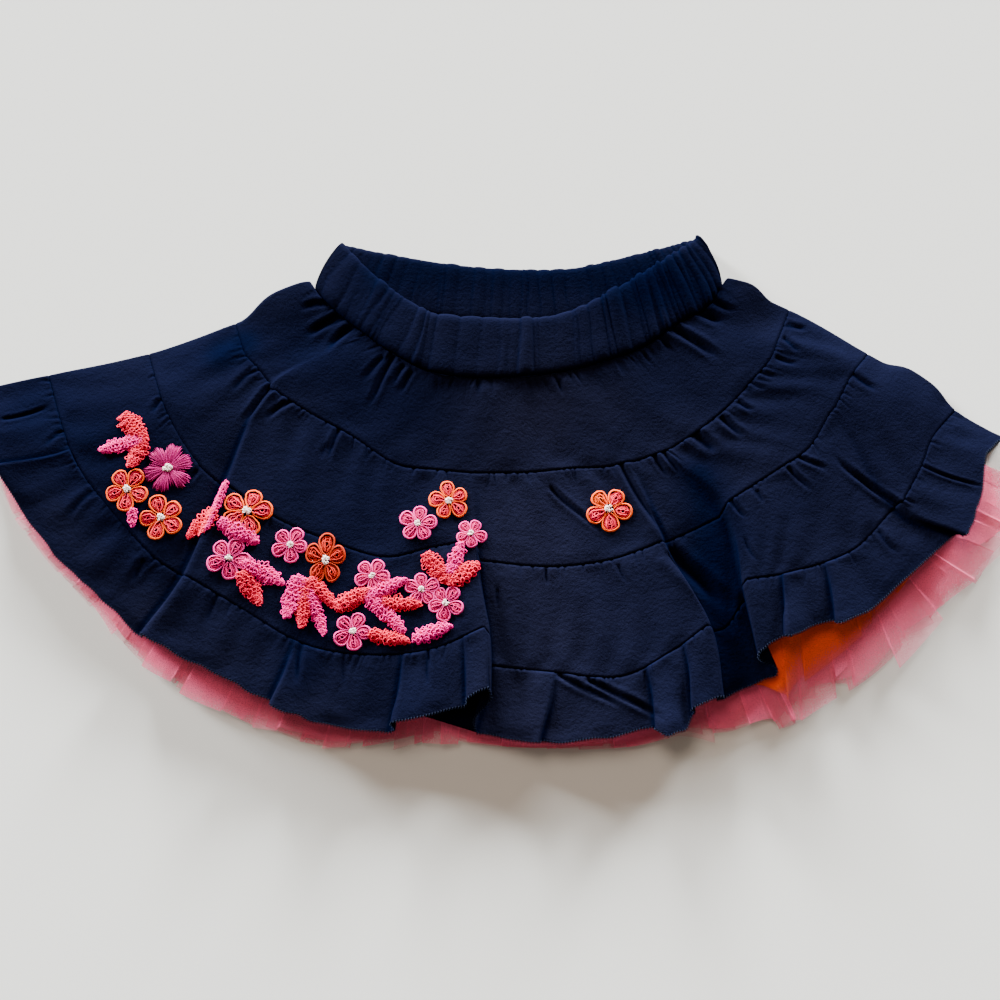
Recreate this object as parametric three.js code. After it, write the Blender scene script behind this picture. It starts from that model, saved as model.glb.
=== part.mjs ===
// A child's tiered tutu skirt, laid flat on its back and fanned out.
// Millimetres, +Z up, waist towards +Y. The origin is under the middle of the skirt, on the surface.
import * as THREE from "three";

// Driving dimensions
const CREPE = 1.2; // wall of the gathered crepe
const NET = 1.0; // wall of the bunched net
const CASING = 3.0; // wall of the elastic waistband in its casing
const CLEAR = 0.4; // gap between a surface and what is sewn on it
const SEAM_SHARE = 0.004; // share of a tier's depth left open on each side of a seam
const PUCKER = 0.8; // height of the small gathers under a seam
const BAND_GATHERS = 38; // folds across the front of the waistband
const BAND_FOLD = 1.1; // how far those folds stand out
const GATHER_PITCH = 8; // half a gather, measured along the seam
const FULL_TUCK = 5; // drop at which a fold doubles right back
const TUCK_TURN = 3.3; // radians that such a fold turns through
const TUCK_STEPS = 8; // facets round a fold between panels
const RUFFLE_STEPS = 6; // facets round a ruffle fold
const MIDDLE = new THREE.Vector3(-5.4, 10.7, 0); // middle of the skirt's outline, taken as the origin

// Heights above the surface of the middle of each wall
const BACK_HEIGHT = CREPE / 2;
const BAND_REST = CASING / 2;
const BAND_RISE = { corner: 4.8, middle: 11.5 };

// The front waistband: share of the way across, foot at the seam and top edge
const FRONT_BAND = [
  { share: 0, foot: [-115, 132], top: [-99, 166] },
  { share: 0.084, foot: [-98, 115], top: [-85, 150] },
  { share: 0.153, foot: [-82, 102], top: [-68, 134] },
  { share: 0.221, foot: [-66, 90], top: [-53, 123] },
  { share: 0.32, foot: [-41, 77], top: [-37, 115] },
  { share: 0.42, foot: [-12, 73], top: [-9, 113] },
  { share: 0.545, foot: [24, 75], top: [25, 113] },
  { share: 0.65, foot: [54, 81], top: [52, 121] },
  { share: 0.765, foot: [86, 93], top: [79, 137] },
  { share: 0.868, foot: [110, 110], top: [101, 152] },
  { share: 0.935, foot: [127, 120], top: [115, 162] },
  { share: 1, foot: [138, 134], top: [125, 170] },
];

// The back waistband, which shows above the dip of the front one
const BACK_BAND = [
  { share: 0, foot: [-115, 132], top: [-99, 166] },
  { share: 0.15, foot: [-78, 124], top: [-68, 159] },
  { share: 0.35, foot: [-28, 115], top: [-26, 152] },
  { share: 0.5, foot: [11, 112], top: [12, 149] },
  { share: 0.65, foot: [48, 114], top: [46, 150] },
  { share: 0.85, foot: [98, 123], top: [88, 160] },
  { share: 1, foot: [138, 134], top: [125, 170] },
];

// Lines down the front, a row each. For tiers 1, 2, 3 and the hem ruffle: lean in degrees from
// straight down, depth in mm, and the height of the cloth at the lower edge. pink and orange: how
// far those nets reach past the hem, in mm.
const LINES = [
  { panel: "left", share: 0, lean: [-68, -69, -77, -77], depth: [53, 56, 62, 39], height: [2.2, 2.2, 2.2, 2.2] },
  { panel: "left", share: 0.038, lean: [-56, -66, -64, -82], depth: [59, 56, 61, 43], height: [7, 7.8, 8, 8], pink: 8, orange: -6 },
  { panel: "left", share: 0.081, lean: [-55, -62, -54, -69], depth: [60, 60, 61, 41], height: [8.4, 9, 9.2, 9.2], pink: 18, orange: -6 },
  { panel: "left", share: 0.115, lean: [-55, -52, -41, -55], depth: [62, 62, 58, 41], height: [8.5, 9.5, 10, 10], pink: 15, orange: -6 },
  { panel: "left", share: 0.14, lean: [-58, -36, -26, -48], depth: [64, 65, 59, 37], height: [9, 9.5, 9.5, 9], pink: 16, orange: -6 },
  { panel: "left", share: 0.156, lean: [-60, -24, -21, -33], depth: [67, 66, 58, 41], height: [9.5, 8.5, 8, 7.5], pink: 15, orange: -6 },
  { panel: "flowered", share: 0.166, lean: [-59, -22, -19, -33], depth: [66, 65, 58, 41], height: [9.5, 12.5, 13.5, 13.5] },
  { panel: "flowered", share: 0.206, lean: [-46, -16, -18, -27], depth: [60, 67, 56, 39], height: [9.5, 12, 12, 12], pink: 18, orange: -6 },
  { panel: "flowered", share: 0.259, lean: [-33, -11, -9, -18], depth: [57, 65, 62, 36], height: [9.5, 11.5, 12, 12], pink: 16, orange: -6 },
  { panel: "flowered", share: 0.32, lean: [-20, -6, -5, -13], depth: [61, 57, 57, 39], height: [9.5, 11.5, 12, 12], pink: 12, orange: -6 },
  { panel: "flowered", share: 0.369, lean: [-11, -3, 2, -1], depth: [59, 48, 59, 35], height: [9.5, 11.5, 13, 14], pink: 18, orange: -6 },
  { panel: "flowered", share: 0.417, lean: [-5, 4, 7, 4], depth: [59, 41, 52, 34], height: [9.5, 11.5, 15, 16] },
  { panel: "centre", share: 0.427, lean: [-3, 2, 6, -12], depth: [59, 53, 61, 38], height: [9.5, 10, 9.5, 9], pink: 10, orange: -6 },
  { panel: "centre", share: 0.483, lean: [11, 10, 3, -13], depth: [60, 58, 61, 40], height: [9.5, 10.5, 11, 11], pink: 6, orange: -6 },
  { panel: "centre", share: 0.545, lean: [18, 17, 7, 4], depth: [61, 59, 67, 32], height: [9.5, 11, 12.5, 13], pink: 9, orange: -6 },
  { panel: "centre", share: 0.6, lean: [21, 21, 15, 5], depth: [64, 54, 61, 35], height: [9.5, 11, 13.5, 14], pink: 16, orange: -6 },
  { panel: "centre", share: 0.65, lean: [20, 20, 26, 6], depth: [64, 52, 55, 41], height: [9.5, 12, 14.5, 15] },
  { panel: "valley", share: 0.66, lean: [21, 20, 22, 11], depth: [65, 52, 57, 38], height: [9.5, 9.5, 9, 8.7], pink: 24, orange: -6 },
  { panel: "valley", share: 0.683, lean: [23, 28, 17, 21], depth: [65, 51, 59, 35], height: [9.5, 9, 9, 8.7], pink: 25, orange: -6 },
  { panel: "valley", share: 0.706, lean: [25, 38, 12, 23], depth: [65, 51, 52, 45], height: [9.5, 9.2, 9, 8.7], pink: 26, orange: 8 },
  { panel: "right", share: 0.716, lean: [27, 45, 9, 6], depth: [65, 46, 48, 41], height: [9.5, 11, 14, 15] },
  { panel: "right", share: 0.767, lean: [33, 62, 2, 0], depth: [62, 52, 63, 34], height: [9.5, 11, 12.5, 13], pink: 42, orange: 24 },
  { panel: "right", share: 0.818, lean: [38, 62, 18, 15], depth: [60, 54, 66, 33], height: [9.5, 10.5, 11.5, 12], pink: 32, orange: 12 },
  { panel: "right", share: 0.857, lean: [43, 74, 29, 65], depth: [58, 53, 68, 37], height: [9, 9.5, 9.2, 9], pink: 24, orange: -6 },
  { panel: "flap", share: 0.867, lean: [44, 75, 32, 60], depth: [57, 54, 68, 41], height: [9, 9.5, 10.5, 13] },
  { panel: "flap", share: 0.9, lean: [56, 74, 37, 60], depth: [54, 49, 66, 38], height: [8.5, 9, 9.5, 10], pink: 20, orange: -6 },
  { panel: "flap", share: 0.937, lean: [64, 68, 44, 65], depth: [48, 50, 61, 33], height: [7.2, 7.9, 8, 8], pink: 12, orange: -6 },
  { panel: "flap", share: 1, lean: [73, 58, 54, 58], depth: [44, 55, 62, 32], height: [2.2, 2.2, 2.2, 2.2] },
];

// Where two panels overlap, the one that lies on top, and the tier in which the fold begins
const FOLDS = [
  { between: ["left", "flowered"], top: "flowered", tier: 2 },
  { between: ["flowered", "centre"], top: "flowered", tier: 2 },
  { between: ["centre", "valley"], top: "centre", tier: 2 },
  { between: ["valley", "right"], top: "right", tier: 2 },
  { between: ["right", "flap"], top: "flap", tier: 3 },
];

// Small folds of the hem ruffle: share of the panel's width, side that lies on top, height
const RUFFLES = [
  { panel: "left", place: 0.3, top: "right", drop: 2.5 },
  { panel: "flowered", place: 0.37, top: "left", drop: 3.2 },
  { panel: "flowered", place: 0.72, top: "right", drop: 3.5 },
  { panel: "centre", place: 0.3, top: "left", drop: 2.5 },
  { panel: "centre", place: 0.62, top: "right", drop: 3.2 },
  { panel: "centre", place: 0.84, top: "right", drop: 2.6 },
  { panel: "right", place: 0.36, top: "right", drop: 3.2 },
  { panel: "right", place: 0.62, top: "right", drop: 2.6 },
];
const RUFFLE_RUN = 0.16; // share of the panel over which a ruffle fold levels out again
const RUFFLE_OPEN = 0.02; // share of the panel that a ruffle fold takes up

// Embroidered flowers and leaves, placed on the skirt as it lies: middle, size, petals, colour
const FLOWERS = [
  { x: -197, y: 17, size: 30, petals: 6, colour: "magenta" },
  { x: -220, y: 4, size: 24, petals: 5, colour: "orange" },
  { x: -198, y: -13, size: 25, petals: 5, colour: "orange" },
  { x: -148, y: -10, size: 27, petals: 5, colour: "orange" },
  { x: -157, y: -38, size: 22, petals: 6, colour: "pink" },
  { x: -122, y: -30, size: 20, petals: 5, colour: "pink" },
  { x: -101, y: -39, size: 22, petals: 5, colour: "orange" },
  { x: -74, y: -48, size: 18, petals: 5, colour: "pink" },
  { x: -46, y: -56, size: 18, petals: 5, colour: "pink" },
  { x: -31, y: -67, size: 17, petals: 5, colour: "pink" },
  { x: -84, y: -81, size: 20, petals: 5, colour: "pink" },
  { x: -48, y: -15, size: 19, petals: 5, colour: "pink" },
  { x: -29, y: -2, size: 21, petals: 5, colour: "orange" },
  { x: -16, y: -22, size: 15, petals: 5, colour: "pink" },
  { x: 65, y: -8, size: 25, petals: 6, colour: "orange" },
];
const LEAVES = [
  { from: [-229, 50], to: [-214, 37], width: 9, colour: "coral" },
  { from: [-215, 28], to: [-221, 19], width: 6, colour: "coral" },
  { from: [-218, 34], to: [-237, 28], width: 6, colour: "pink" },
  { from: [-214, -13], to: [-213, -23], width: 5, colour: "pink" },
  { from: [-174, -14], to: [-187, -25], width: 8, colour: "coral" },
  { from: [-170, 3], to: [-173, -6], width: 5, colour: "pink" },
  { from: [-152, -26], to: [-139, -30], width: 6, colour: "pink" },
  { from: [-142, -43], to: [-127, -49], width: 7, colour: "pink" },
  { from: [-148, -52], to: [-138, -64], width: 8, colour: "coral" },
  { from: [-120, -52], to: [-124, -71], width: 8, colour: "pink" },
  { from: [-113, -56], to: [-113, -77], width: 8, colour: "coral" },
  { from: [-106, -64], to: [-101, -78], width: 5, colour: "pink" },
  { from: [-104, -56], to: [-95, -64], width: 7, colour: "coral" },
  { from: [-91, -66], to: [-82, -61], width: 7, colour: "coral" },
  { from: [-67, -57], to: [-57, -53], width: 5, colour: "pink" },
  { from: [-66, -66], to: [-44, -67], width: 6, colour: "coral" },
  { from: [-71, -68], to: [-57, -79], width: 6, colour: "pink" },
  { from: [-71, -84], to: [-54, -85], width: 6, colour: "coral" },
  { from: [-45, -83], to: [-29, -79], width: 6, colour: "pink" },
  { from: [-41, -36], to: [-35, -44], width: 6, colour: "coral" },
  { from: [-25, -47], to: [-15, -40], width: 7, colour: "coral" },
  { from: [-30, -41], to: [-27, -31], width: 5, colour: "pink" },
];

// The layers of net from the surface up: height under the crepe, how much shorter each is than its
// line's reach, height and wave at its edge, lines left out at each side, and facets between lines
const NETS = [
  { name: "net_orange_back", colour: "orange", height: 1.9, short: 22, fallTo: 1.9, wave: 0, inset: 1, facets: 1 },
  { name: "net_pink_back", colour: "pink", height: 3.3, short: 6, fallTo: 0.6, wave: 0, inset: 0, facets: 1 },
  { name: "net_pink_front", colour: "pink", height: 4.6, short: 0, fallTo: 2.0, wave: 3, inset: 0, facets: 3 },
  { name: "net_orange_front", colour: "orange", height: 6.0, short: 0, fallTo: 6.2, wave: 0, inset: 1, facets: 2 },
];
const NET_BEND = 8; // how far before its edge a net begins to fall

const DEGREE = Math.PI / 180;
const point = (x, y, z = 0) => new THREE.Vector3(x, y, z);
const mix = (a, b, share) => a.clone().lerp(b, share);
const smooth = (x) => THREE.MathUtils.smoothstep(x, 0, 1);

// A smooth curve through evenly numbered points, read at any number between them
function through(points, t) {
  const i = THREE.MathUtils.clamp(Math.floor(t), 0, points.length - 2);
  const f = t - i;
  const [b, c] = [points[i], points[i + 1]];
  const a = points[i - 1] ?? b.clone().multiplyScalar(2).sub(c);
  const d = points[i + 2] ?? c.clone().multiplyScalar(2).sub(b);
  const sum = point(0, 0, 0);
  sum.addScaledVector(a, (-f + 2 * f * f - f ** 3) / 2);
  sum.addScaledVector(b, (2 - 5 * f * f + 3 * f ** 3) / 2);
  sum.addScaledVector(c, (f + 4 * f * f - 3 * f ** 3) / 2);
  return sum.addScaledVector(d, (f ** 3 - f * f) / 2);
}

// The foot or top of a waistband at a share of the way across
function bandPoint(rows, edge, share) {
  const next = Math.max(1, rows.findIndex((row) => row.share >= share));
  const [a, b] = [rows[next - 1], rows[next]];
  const t = next - 1 + (share - a.share) / (b.share - a.share);
  return through(rows.map((row) => point(...row[edge])), t);
}

// Height of the front waistband's middle, higher where the waist gapes
function bandHeight(share) {
  return THREE.MathUtils.lerp(BAND_RISE.corner, BAND_RISE.middle, Math.sin(Math.PI * share) ** 0.8);
}

// Points of one line down the cloth, at the waist seam and at each tier's lower edge
function linePoints(line) {
  const points = [bandPoint(FRONT_BAND, "foot", line.share).setZ(bandHeight(line.share))];
  line.lean.forEach((lean, tier) => {
    const step = point(Math.sin(lean * DEGREE), -Math.cos(lean * DEGREE)).multiplyScalar(line.depth[tier]);
    points.push(points[tier].clone().add(step).setZ(line.height[tier]));
  });
  return points;
}

// Panels of the front: their lines, each as points
const PANELS = [...new Set(LINES.map((line) => line.panel))].map((name) => {
  const lines = LINES.filter((line) => line.panel === name).map(linePoints);
  return { name, lines };
});

// A panel's cloth: place runs 0 to 1 across it, down counts tiers from the waist seam
function panelPoint(panel, place, down) {
  const across = panel.lines.map((line) => through(line, down));
  return through(across, place * (across.length - 1));
}

// How far a ruffle fold has opened between seam 3 and the hem
const grown = (down) => smooth(down - 3) * 0.75 + 0.25;

// Extra height of the hem ruffle beside its folds
function ruffleHeight(panel, place, down) {
  const folds = down > 3 ? RUFFLES.filter((fold) => fold.panel === panel.name) : [];
  return folds.reduce((sum, fold) => {
    const beside = fold.top === "right" ? place - fold.place : fold.place - place;
    const share = beside > 0 ? Math.max(0, 1 - beside / RUFFLE_RUN) : 0;
    return sum + fold.drop * grown(down) * share;
  }, 0);
}

// One facet of a fold that doubles back: how far across and up, for a share of its run.
// Its direction swings from level to past upright and back to level, as a soft fold does.
function tuck(share, drop) {
  const turn = TUCK_TURN * Math.min(1, Math.max(drop, 0.01) / FULL_TUCK);
  const steps = 48;
  const path = [[0, 0]];
  for (let i = 0; i < steps; i += 1) {
    const angle = turn * Math.sin((Math.PI * (i + 0.5)) / steps) ** 2;
    path.push([path[i][0] + Math.cos(angle), path[i][1] + Math.sin(angle)]);
  }
  const [run, rise] = path[steps];
  const here = path[Math.round(share * steps)];
  return { across: ((here[0] - run * share) * drop) / rise, up: here[1] / rise };
}

// A point in the fold between a low and a high point of the cloth
function foldPoint(low, high, aside, share) {
  const drop = Math.max(high.z - low.z, 0);
  const { across, up } = tuck(share, drop);
  return mix(low, high, share).addScaledVector(aside, across).setZ(low.z + (high.z - low.z) * up);
}

// Level direction at right angles to the cloth's line, from the low side of a fold to the high side
function foldAside(panel, place, down, top) {
  const line = panelPoint(panel, place, down + 0.05).sub(panelPoint(panel, place, down - 0.05));
  const aside = point(-line.y, line.x).normalize();
  return top === "right" ? aside : aside.negate();
}

// Columns of one tier of one panel, each a function from the height down the tier to a point
function panelColumns(panel, tier, count) {
  const folds = tier === 4 ? RUFFLES.filter((fold) => fold.panel === panel.name) : [];
  const plain = (place) => (down) => {
    const spot = panelPoint(panel, place, down);
    return spot.setZ(spot.z + ruffleHeight(panel, place, down));
  };
  const columns = [];
  for (let i = 0; i <= count; i += 1) {
    const place = i / count;
    if (folds.some((fold) => Math.abs(fold.place - place) < 1.2 * RUFFLE_OPEN)) continue;
    columns.push({ place, at: plain(place), pucker: i % 2 ? 1 : -1 });
  }
  for (const fold of folds) {
    const side = fold.top === "right" ? 1 : -1;
    for (let i = 0; i <= RUFFLE_STEPS; i += 1) {
      const share = fold.top === "right" ? i / RUFFLE_STEPS : 1 - i / RUFFLE_STEPS;
      columns.push({
        place: fold.place + ((2 * i) / RUFFLE_STEPS - 1) * 0.5 * RUFFLE_OPEN,
        at: (down) => {
          const low = plain(fold.place - 0.5 * side * RUFFLE_OPEN)(down);
          const high = plain(fold.place + 0.5 * side * RUFFLE_OPEN)(down);
          return foldPoint(low, high, foldAside(panel, fold.place, down, fold.top), share);
        },
        pucker: 0,
      });
    }
  }
  return columns.sort((a, b) => a.place - b.place);
}

// Columns of the fold between two panels
function foldColumns(left, right, tier) {
  const fold = FOLDS.find(({ between }) => between[0] === left.name);
  if (tier < fold.tier) return [];
  const top = fold.top === right.name ? "right" : "left";
  return Array.from({ length: TUCK_STEPS - 1 }, (_, i) => ({
    pucker: 0,
    at: (down) => {
      const ends = [panelPoint(left, 1, down), panelPoint(right, 0, down)];
      const aside = foldAside(right, 0, down, top);
      if (top === "right") return foldPoint(ends[0], ends[1], aside, (i + 1) / TUCK_STEPS);
      return foldPoint(ends[1], ends[0], aside, 1 - (i + 1) / TUCK_STEPS);
    },
  }));
}

// Every column of one tier of the front, from the left side seam to the right
function tierColumns(tier) {
  return PANELS.flatMap((panel, i) => {
    const width = panelPoint(panel, 0, tier).distanceTo(panelPoint(panel, 1, tier));
    const columns = panelColumns(panel, tier, 2 * Math.max(1, Math.round(width / (2 * GATHER_PITCH))));
    return i ? [...foldColumns(PANELS[i - 1], panel, tier), ...columns] : columns;
  });
}

// Outward direction at each point of a grid whose columns run left to right and rows run down
function gridNormals(grid) {
  return grid.map((row, r) => row.map((_, c) => {
    const down = grid[Math.min(r + 1, grid.length - 1)][c].clone().sub(grid[Math.max(r - 1, 0)][c]);
    const across = row[Math.min(c + 1, row.length - 1)].clone().sub(row[Math.max(c - 1, 0)]);
    return down.cross(across).normalize();
  }));
}

// A closed solid between an outer and an inner grid of the same size
function shell(outer, inner) {
  const [rows, columns] = [outer.length, outer[0].length];
  const positions = [...outer.flat(), ...inner.flat()].flatMap((p) => p.toArray());
  const index = [];
  const quad = (a, b, c, d) => index.push(a, b, c, a, c, d);
  const out = (r, c) => r * columns + c;
  const into = (r, c) => rows * columns + out(r, c);
  for (let r = 0; r + 1 < rows; r += 1) {
    for (let c = 0; c + 1 < columns; c += 1) {
      quad(out(r, c), out(r + 1, c), out(r + 1, c + 1), out(r, c + 1));
      quad(into(r, c), into(r, c + 1), into(r + 1, c + 1), into(r + 1, c));
    }
    quad(out(r, 0), into(r, 0), into(r + 1, 0), out(r + 1, 0));
    quad(out(r, columns - 1), out(r + 1, columns - 1), into(r + 1, columns - 1), into(r, columns - 1));
  }
  for (let c = 0; c + 1 < columns; c += 1) {
    quad(out(0, c), out(0, c + 1), into(0, c + 1), into(0, c));
    quad(out(rows - 1, c), into(rows - 1, c), into(rows - 1, c + 1), out(rows - 1, c + 1));
  }
  const geometry = new THREE.BufferGeometry();
  geometry.setAttribute("position", new THREE.Float32BufferAttribute(positions, 3));
  geometry.setIndex(index);
  return geometry;
}

// Cloth of even thickness about a grid of middle points
function wall(grid, thickness) {
  const normals = gridNormals(grid);
  const offset = (side) => grid.map((row, r) => row.map((p, c) => (
    p.clone().addScaledVector(normals[r][c], (side * thickness) / 2)
  )));
  return shell(offset(1), offset(-1));
}

const skirt = new THREE.Group();
skirt.name = "tutu_skirt";
const COLOURS = {
  navy: 0x141c30, pink: 0xe58aa6, orange: 0xe8763c, magenta: 0xc8327a, coral: 0xe2594e,
};

function add(name, geometry, colour) {
  const cloth = new THREE.MeshStandardMaterial({ color: COLOURS[colour], roughness: 0.9, metalness: 0 });
  const mesh = new THREE.Mesh(geometry, cloth);
  mesh.name = name;
  mesh.position.copy(MIDDLE).negate();
  skirt.add(mesh);
  return mesh;
}

// Gathers are strongest under the seam and die out towards the tier's lower edge
function frontTier(tier) {
  const downs = [SEAM_SHARE, 0.3, 0.64, 1 - SEAM_SHARE].map((share) => tier - 1 + share);
  const strength = [1, 0.75, 0.35, 0.3];
  const columns = tierColumns(tier);
  return wall(downs.map((down, r) => columns.map((column, c) => {
    const uneven = 0.65 + 0.35 * Math.sin(2.3 * c + tier);
    const spot = column.at(down);
    const edge = c === 0 || c === columns.length - 1;
    return edge ? spot : spot.setZ(spot.z + PUCKER * strength[r] * uneven * column.pucker);
  })), CREPE);
}

// The back lies flat: its lines fan evenly from the back waistband, between the same side edges
function backTier(tier) {
  const [first, last] = [LINES[0], LINES[LINES.length - 1]];
  const count = 20;
  const shares = [SEAM_SHARE, 0.5, 1 - SEAM_SHARE];
  return wall(shares.map((share) => Array.from({ length: count + 1 }, (_, c) => {
    const place = c / count;
    const spot = bandPoint(BACK_BAND, "foot", place);
    for (let t = 0; t < tier; t += 1) {
      const lean = THREE.MathUtils.lerp(first.lean[t], last.lean[t], place) * DEGREE;
      const depth = THREE.MathUtils.lerp(first.depth[t], last.depth[t], place);
      const reach = depth * (t === tier - 1 ? share : 1);
      spot.add(point(Math.sin(lean), -Math.cos(lean)).multiplyScalar(reach));
    }
    return spot.setZ(BACK_HEIGHT);
  })), CREPE);
}

// The gathered waistband, its folds raised on the outside over a plain inside
function band(rows, heightAt, folds, count) {
  const ups = [0.006, 0.2, 0.8, 1];
  const depth = [0.7, 1, 1, 0.4];
  const grid = ups.map((up) => Array.from({ length: count + 1 }, (_, c) => {
    const share = c / count;
    const spot = mix(bandPoint(rows, "foot", share), bandPoint(rows, "top", share), up);
    return spot.setZ(heightAt(share));
  })).reverse();
  const fold = (r, c) => folds * depth[ups.length - 1 - r] * (c % 2) * (0.7 + 0.3 * Math.sin(1.7 * c));
  const outer = grid.map((row, r) => row.map((p, c) => p.clone().setZ(p.z + CASING / 2 + fold(r, c))));
  const inner = grid.map((row) => row.map((p) => p.clone().setZ(p.z - CASING / 2)));
  return shell(outer, inner);
}

// Lines that the net follows, smoothed across the folds of the crepe above it
const NET_LINES = LINES.filter((line) => line.pink !== undefined).map((line) => {
  const points = linePoints(line);
  const fall = points[4].clone().sub(points[3]).setZ(0).normalize();
  return { points, fall, pink: line.pink, orange: line.orange };
});

// A layer of net, from below seam 1 to past the hem, where it falls towards the surface
function net({ colour, height, short, fallTo, wave, inset, facets }) {
  const lines = NET_LINES.slice(inset, NET_LINES.length - inset);
  const count = facets * (lines.length - 1);
  const edge = (line) => line[colour] - short;
  const rows = [
    { tier: 1, past: () => 6, height, wave: 0 },
    { tier: 3, past: () => 0, height, wave: 0 },
    { tier: 4, past: (line) => Math.min(2, edge(line) - NET_BEND), height, wave: 0 },
    { tier: 4, past: edge, height: fallTo, wave },
  ];
  return wall(rows.map((row) => Array.from({ length: count + 1 }, (_, c) => {
    const across = lines.map((line) => line.points[row.tier].clone().addScaledVector(line.fall, row.past(line)));
    const spot = through(across, c / facets);
    return spot.setZ(row.height + row.wave * (c % 2) * (0.6 + 0.4 * Math.sin(2.1 * c)));
  })), NET);
}

// Height of the skirt's top at a place, found by looking straight down on what is already there
const eye = new THREE.Raycaster();
const DOWN = point(0, 0, -1);
const NEAR = [[0, 0], [2, 0], [-2, 0], [0, 2], [0, -2], [1.4, 1.4], [-1.4, 1.4], [1.4, -1.4], [-1.4, -1.4]];
function topHeight(x, y, targets) {
  return Math.max(...NEAR.map(([dx, dy]) => {
    eye.set(point(x + dx, y + dy, 100).sub(MIDDLE), DOWN);
    return eye.intersectObjects(targets, false)[0]?.point.z ?? 0;
  }));
}

// A flower of rounded petals round a raised centre, following the cloth under it
function flower({ x, y, size, petals }, targets) {
  const around = 4 * petals;
  const rings = [
    { share: 1, up: 1.1 }, { share: 0.5, up: 2.1 }, { share: 0.18, up: 3.0 },
  ];
  const ringPoint = (share, i, up) => {
    const angle = (2 * Math.PI * i) / around + x;
    const lobe = 0.74 + 0.26 * Math.abs(Math.sin((petals * (angle - x)) / 2));
    const radius = (size / 2) * share * (share > 0.9 ? lobe : 1);
    const [px, py] = [x + radius * Math.cos(angle), y + radius * Math.sin(angle)];
    return point(px, py, topHeight(px, py, targets) + CLEAR + up);
  };
  const points = [point(x, y, topHeight(x, y, targets) + CLEAR)];
  const levels = [{ share: 0.5, up: 0 }, { share: 1, up: 0 }, ...rings];
  for (const level of levels) {
    for (let i = 0; i < around; i += 1) points.push(ringPoint(level.share, i, level.up));
  }
  points.push(point(x, y, topHeight(x, y, targets) + CLEAR + 3.2));
  const index = [];
  for (let i = 0; i < around; i += 1) {
    const j = (i + 1) % around;
    index.push(0, 1 + j, 1 + i);
    for (let level = 0; level + 1 < levels.length; level += 1) {
      const [a, b] = [1 + level * around, 1 + (level + 1) * around];
      index.push(a + i, a + j, b + j, a + i, b + j, b + i);
    }
    const rim = 1 + (levels.length - 1) * around;
    index.push(rim + i, rim + j, points.length - 1);
  }
  const geometry = new THREE.BufferGeometry();
  geometry.setAttribute("position", new THREE.Float32BufferAttribute(points.flatMap((p) => p.toArray()), 3));
  geometry.setIndex(index);
  return geometry;
}

// A pointed leaf with a raised spine
function leaf({ from, to, width }, targets) {
  const [start, end] = [point(...from), point(...to)];
  const side = point(start.y - end.y, end.x - start.x).normalize();
  const along = [0, 0.25, 0.55, 0.85, 1];
  const half = [0.3, 0.9, 1, 0.55, 0.15];
  const grid = (spine) => along.map((share, r) => [-1, 0, 1].map((edge) => {
    const spot = mix(start, end, share).addScaledVector(side, (edge * half[r] * width) / 2);
    return spot.setZ(topHeight(spot.x, spot.y, targets) + CLEAR + (edge ? spine / 2 : spine));
  }));
  return shell(grid(2), grid(0));
}

const waistFront = add("waistband_front", band(FRONT_BAND, bandHeight, BAND_FOLD, 2 * BAND_GATHERS), "navy");
add("waistband_back", band(BACK_BAND, () => BAND_REST, 0, BAND_GATHERS), "navy");
const fronts = ["tier_1_front", "tier_2_front", "tier_3_front", "hem_ruffle_front"];
const carriers = fronts.map((name, i) => add(name, frontTier(i + 1), "navy"));
const backs = ["tier_1_back", "tier_2_back", "tier_3_back", "hem_ruffle_back"];
backs.forEach((name, i) => add(name, backTier(i + 1), "navy"));
NETS.forEach((row) => add(row.name, net(row), row.colour));
skirt.updateMatrixWorld(true);
carriers.push(waistFront);
LEAVES.forEach((row, i) => add(`leaf_${i + 1}`, leaf(row, carriers), row.colour));
FLOWERS.forEach((row, i) => add(`flower_${i + 1}`, flower(row, carriers), row.colour));

export default skirt;
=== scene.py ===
"""A child's tiered tutu skirt, laid flat on its back and fanned out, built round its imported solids.

Lengths in the tables are millimetres, as a maker measures the skirt, and MM turns them to metres.
"""
import math

import bmesh
import bpy
import numpy as np
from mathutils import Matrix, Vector


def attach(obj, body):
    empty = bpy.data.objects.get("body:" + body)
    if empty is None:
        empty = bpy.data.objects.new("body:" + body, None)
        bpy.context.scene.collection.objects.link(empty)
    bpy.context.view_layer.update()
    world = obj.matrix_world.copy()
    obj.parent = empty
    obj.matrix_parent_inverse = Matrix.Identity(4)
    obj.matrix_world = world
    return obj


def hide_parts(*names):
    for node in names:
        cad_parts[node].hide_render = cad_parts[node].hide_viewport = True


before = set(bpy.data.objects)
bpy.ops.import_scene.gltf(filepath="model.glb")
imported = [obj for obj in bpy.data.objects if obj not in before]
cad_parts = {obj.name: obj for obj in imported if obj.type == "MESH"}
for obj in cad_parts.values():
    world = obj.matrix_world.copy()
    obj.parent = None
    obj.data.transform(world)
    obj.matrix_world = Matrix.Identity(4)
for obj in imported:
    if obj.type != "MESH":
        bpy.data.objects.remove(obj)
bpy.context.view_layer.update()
MM = 0.001

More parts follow.
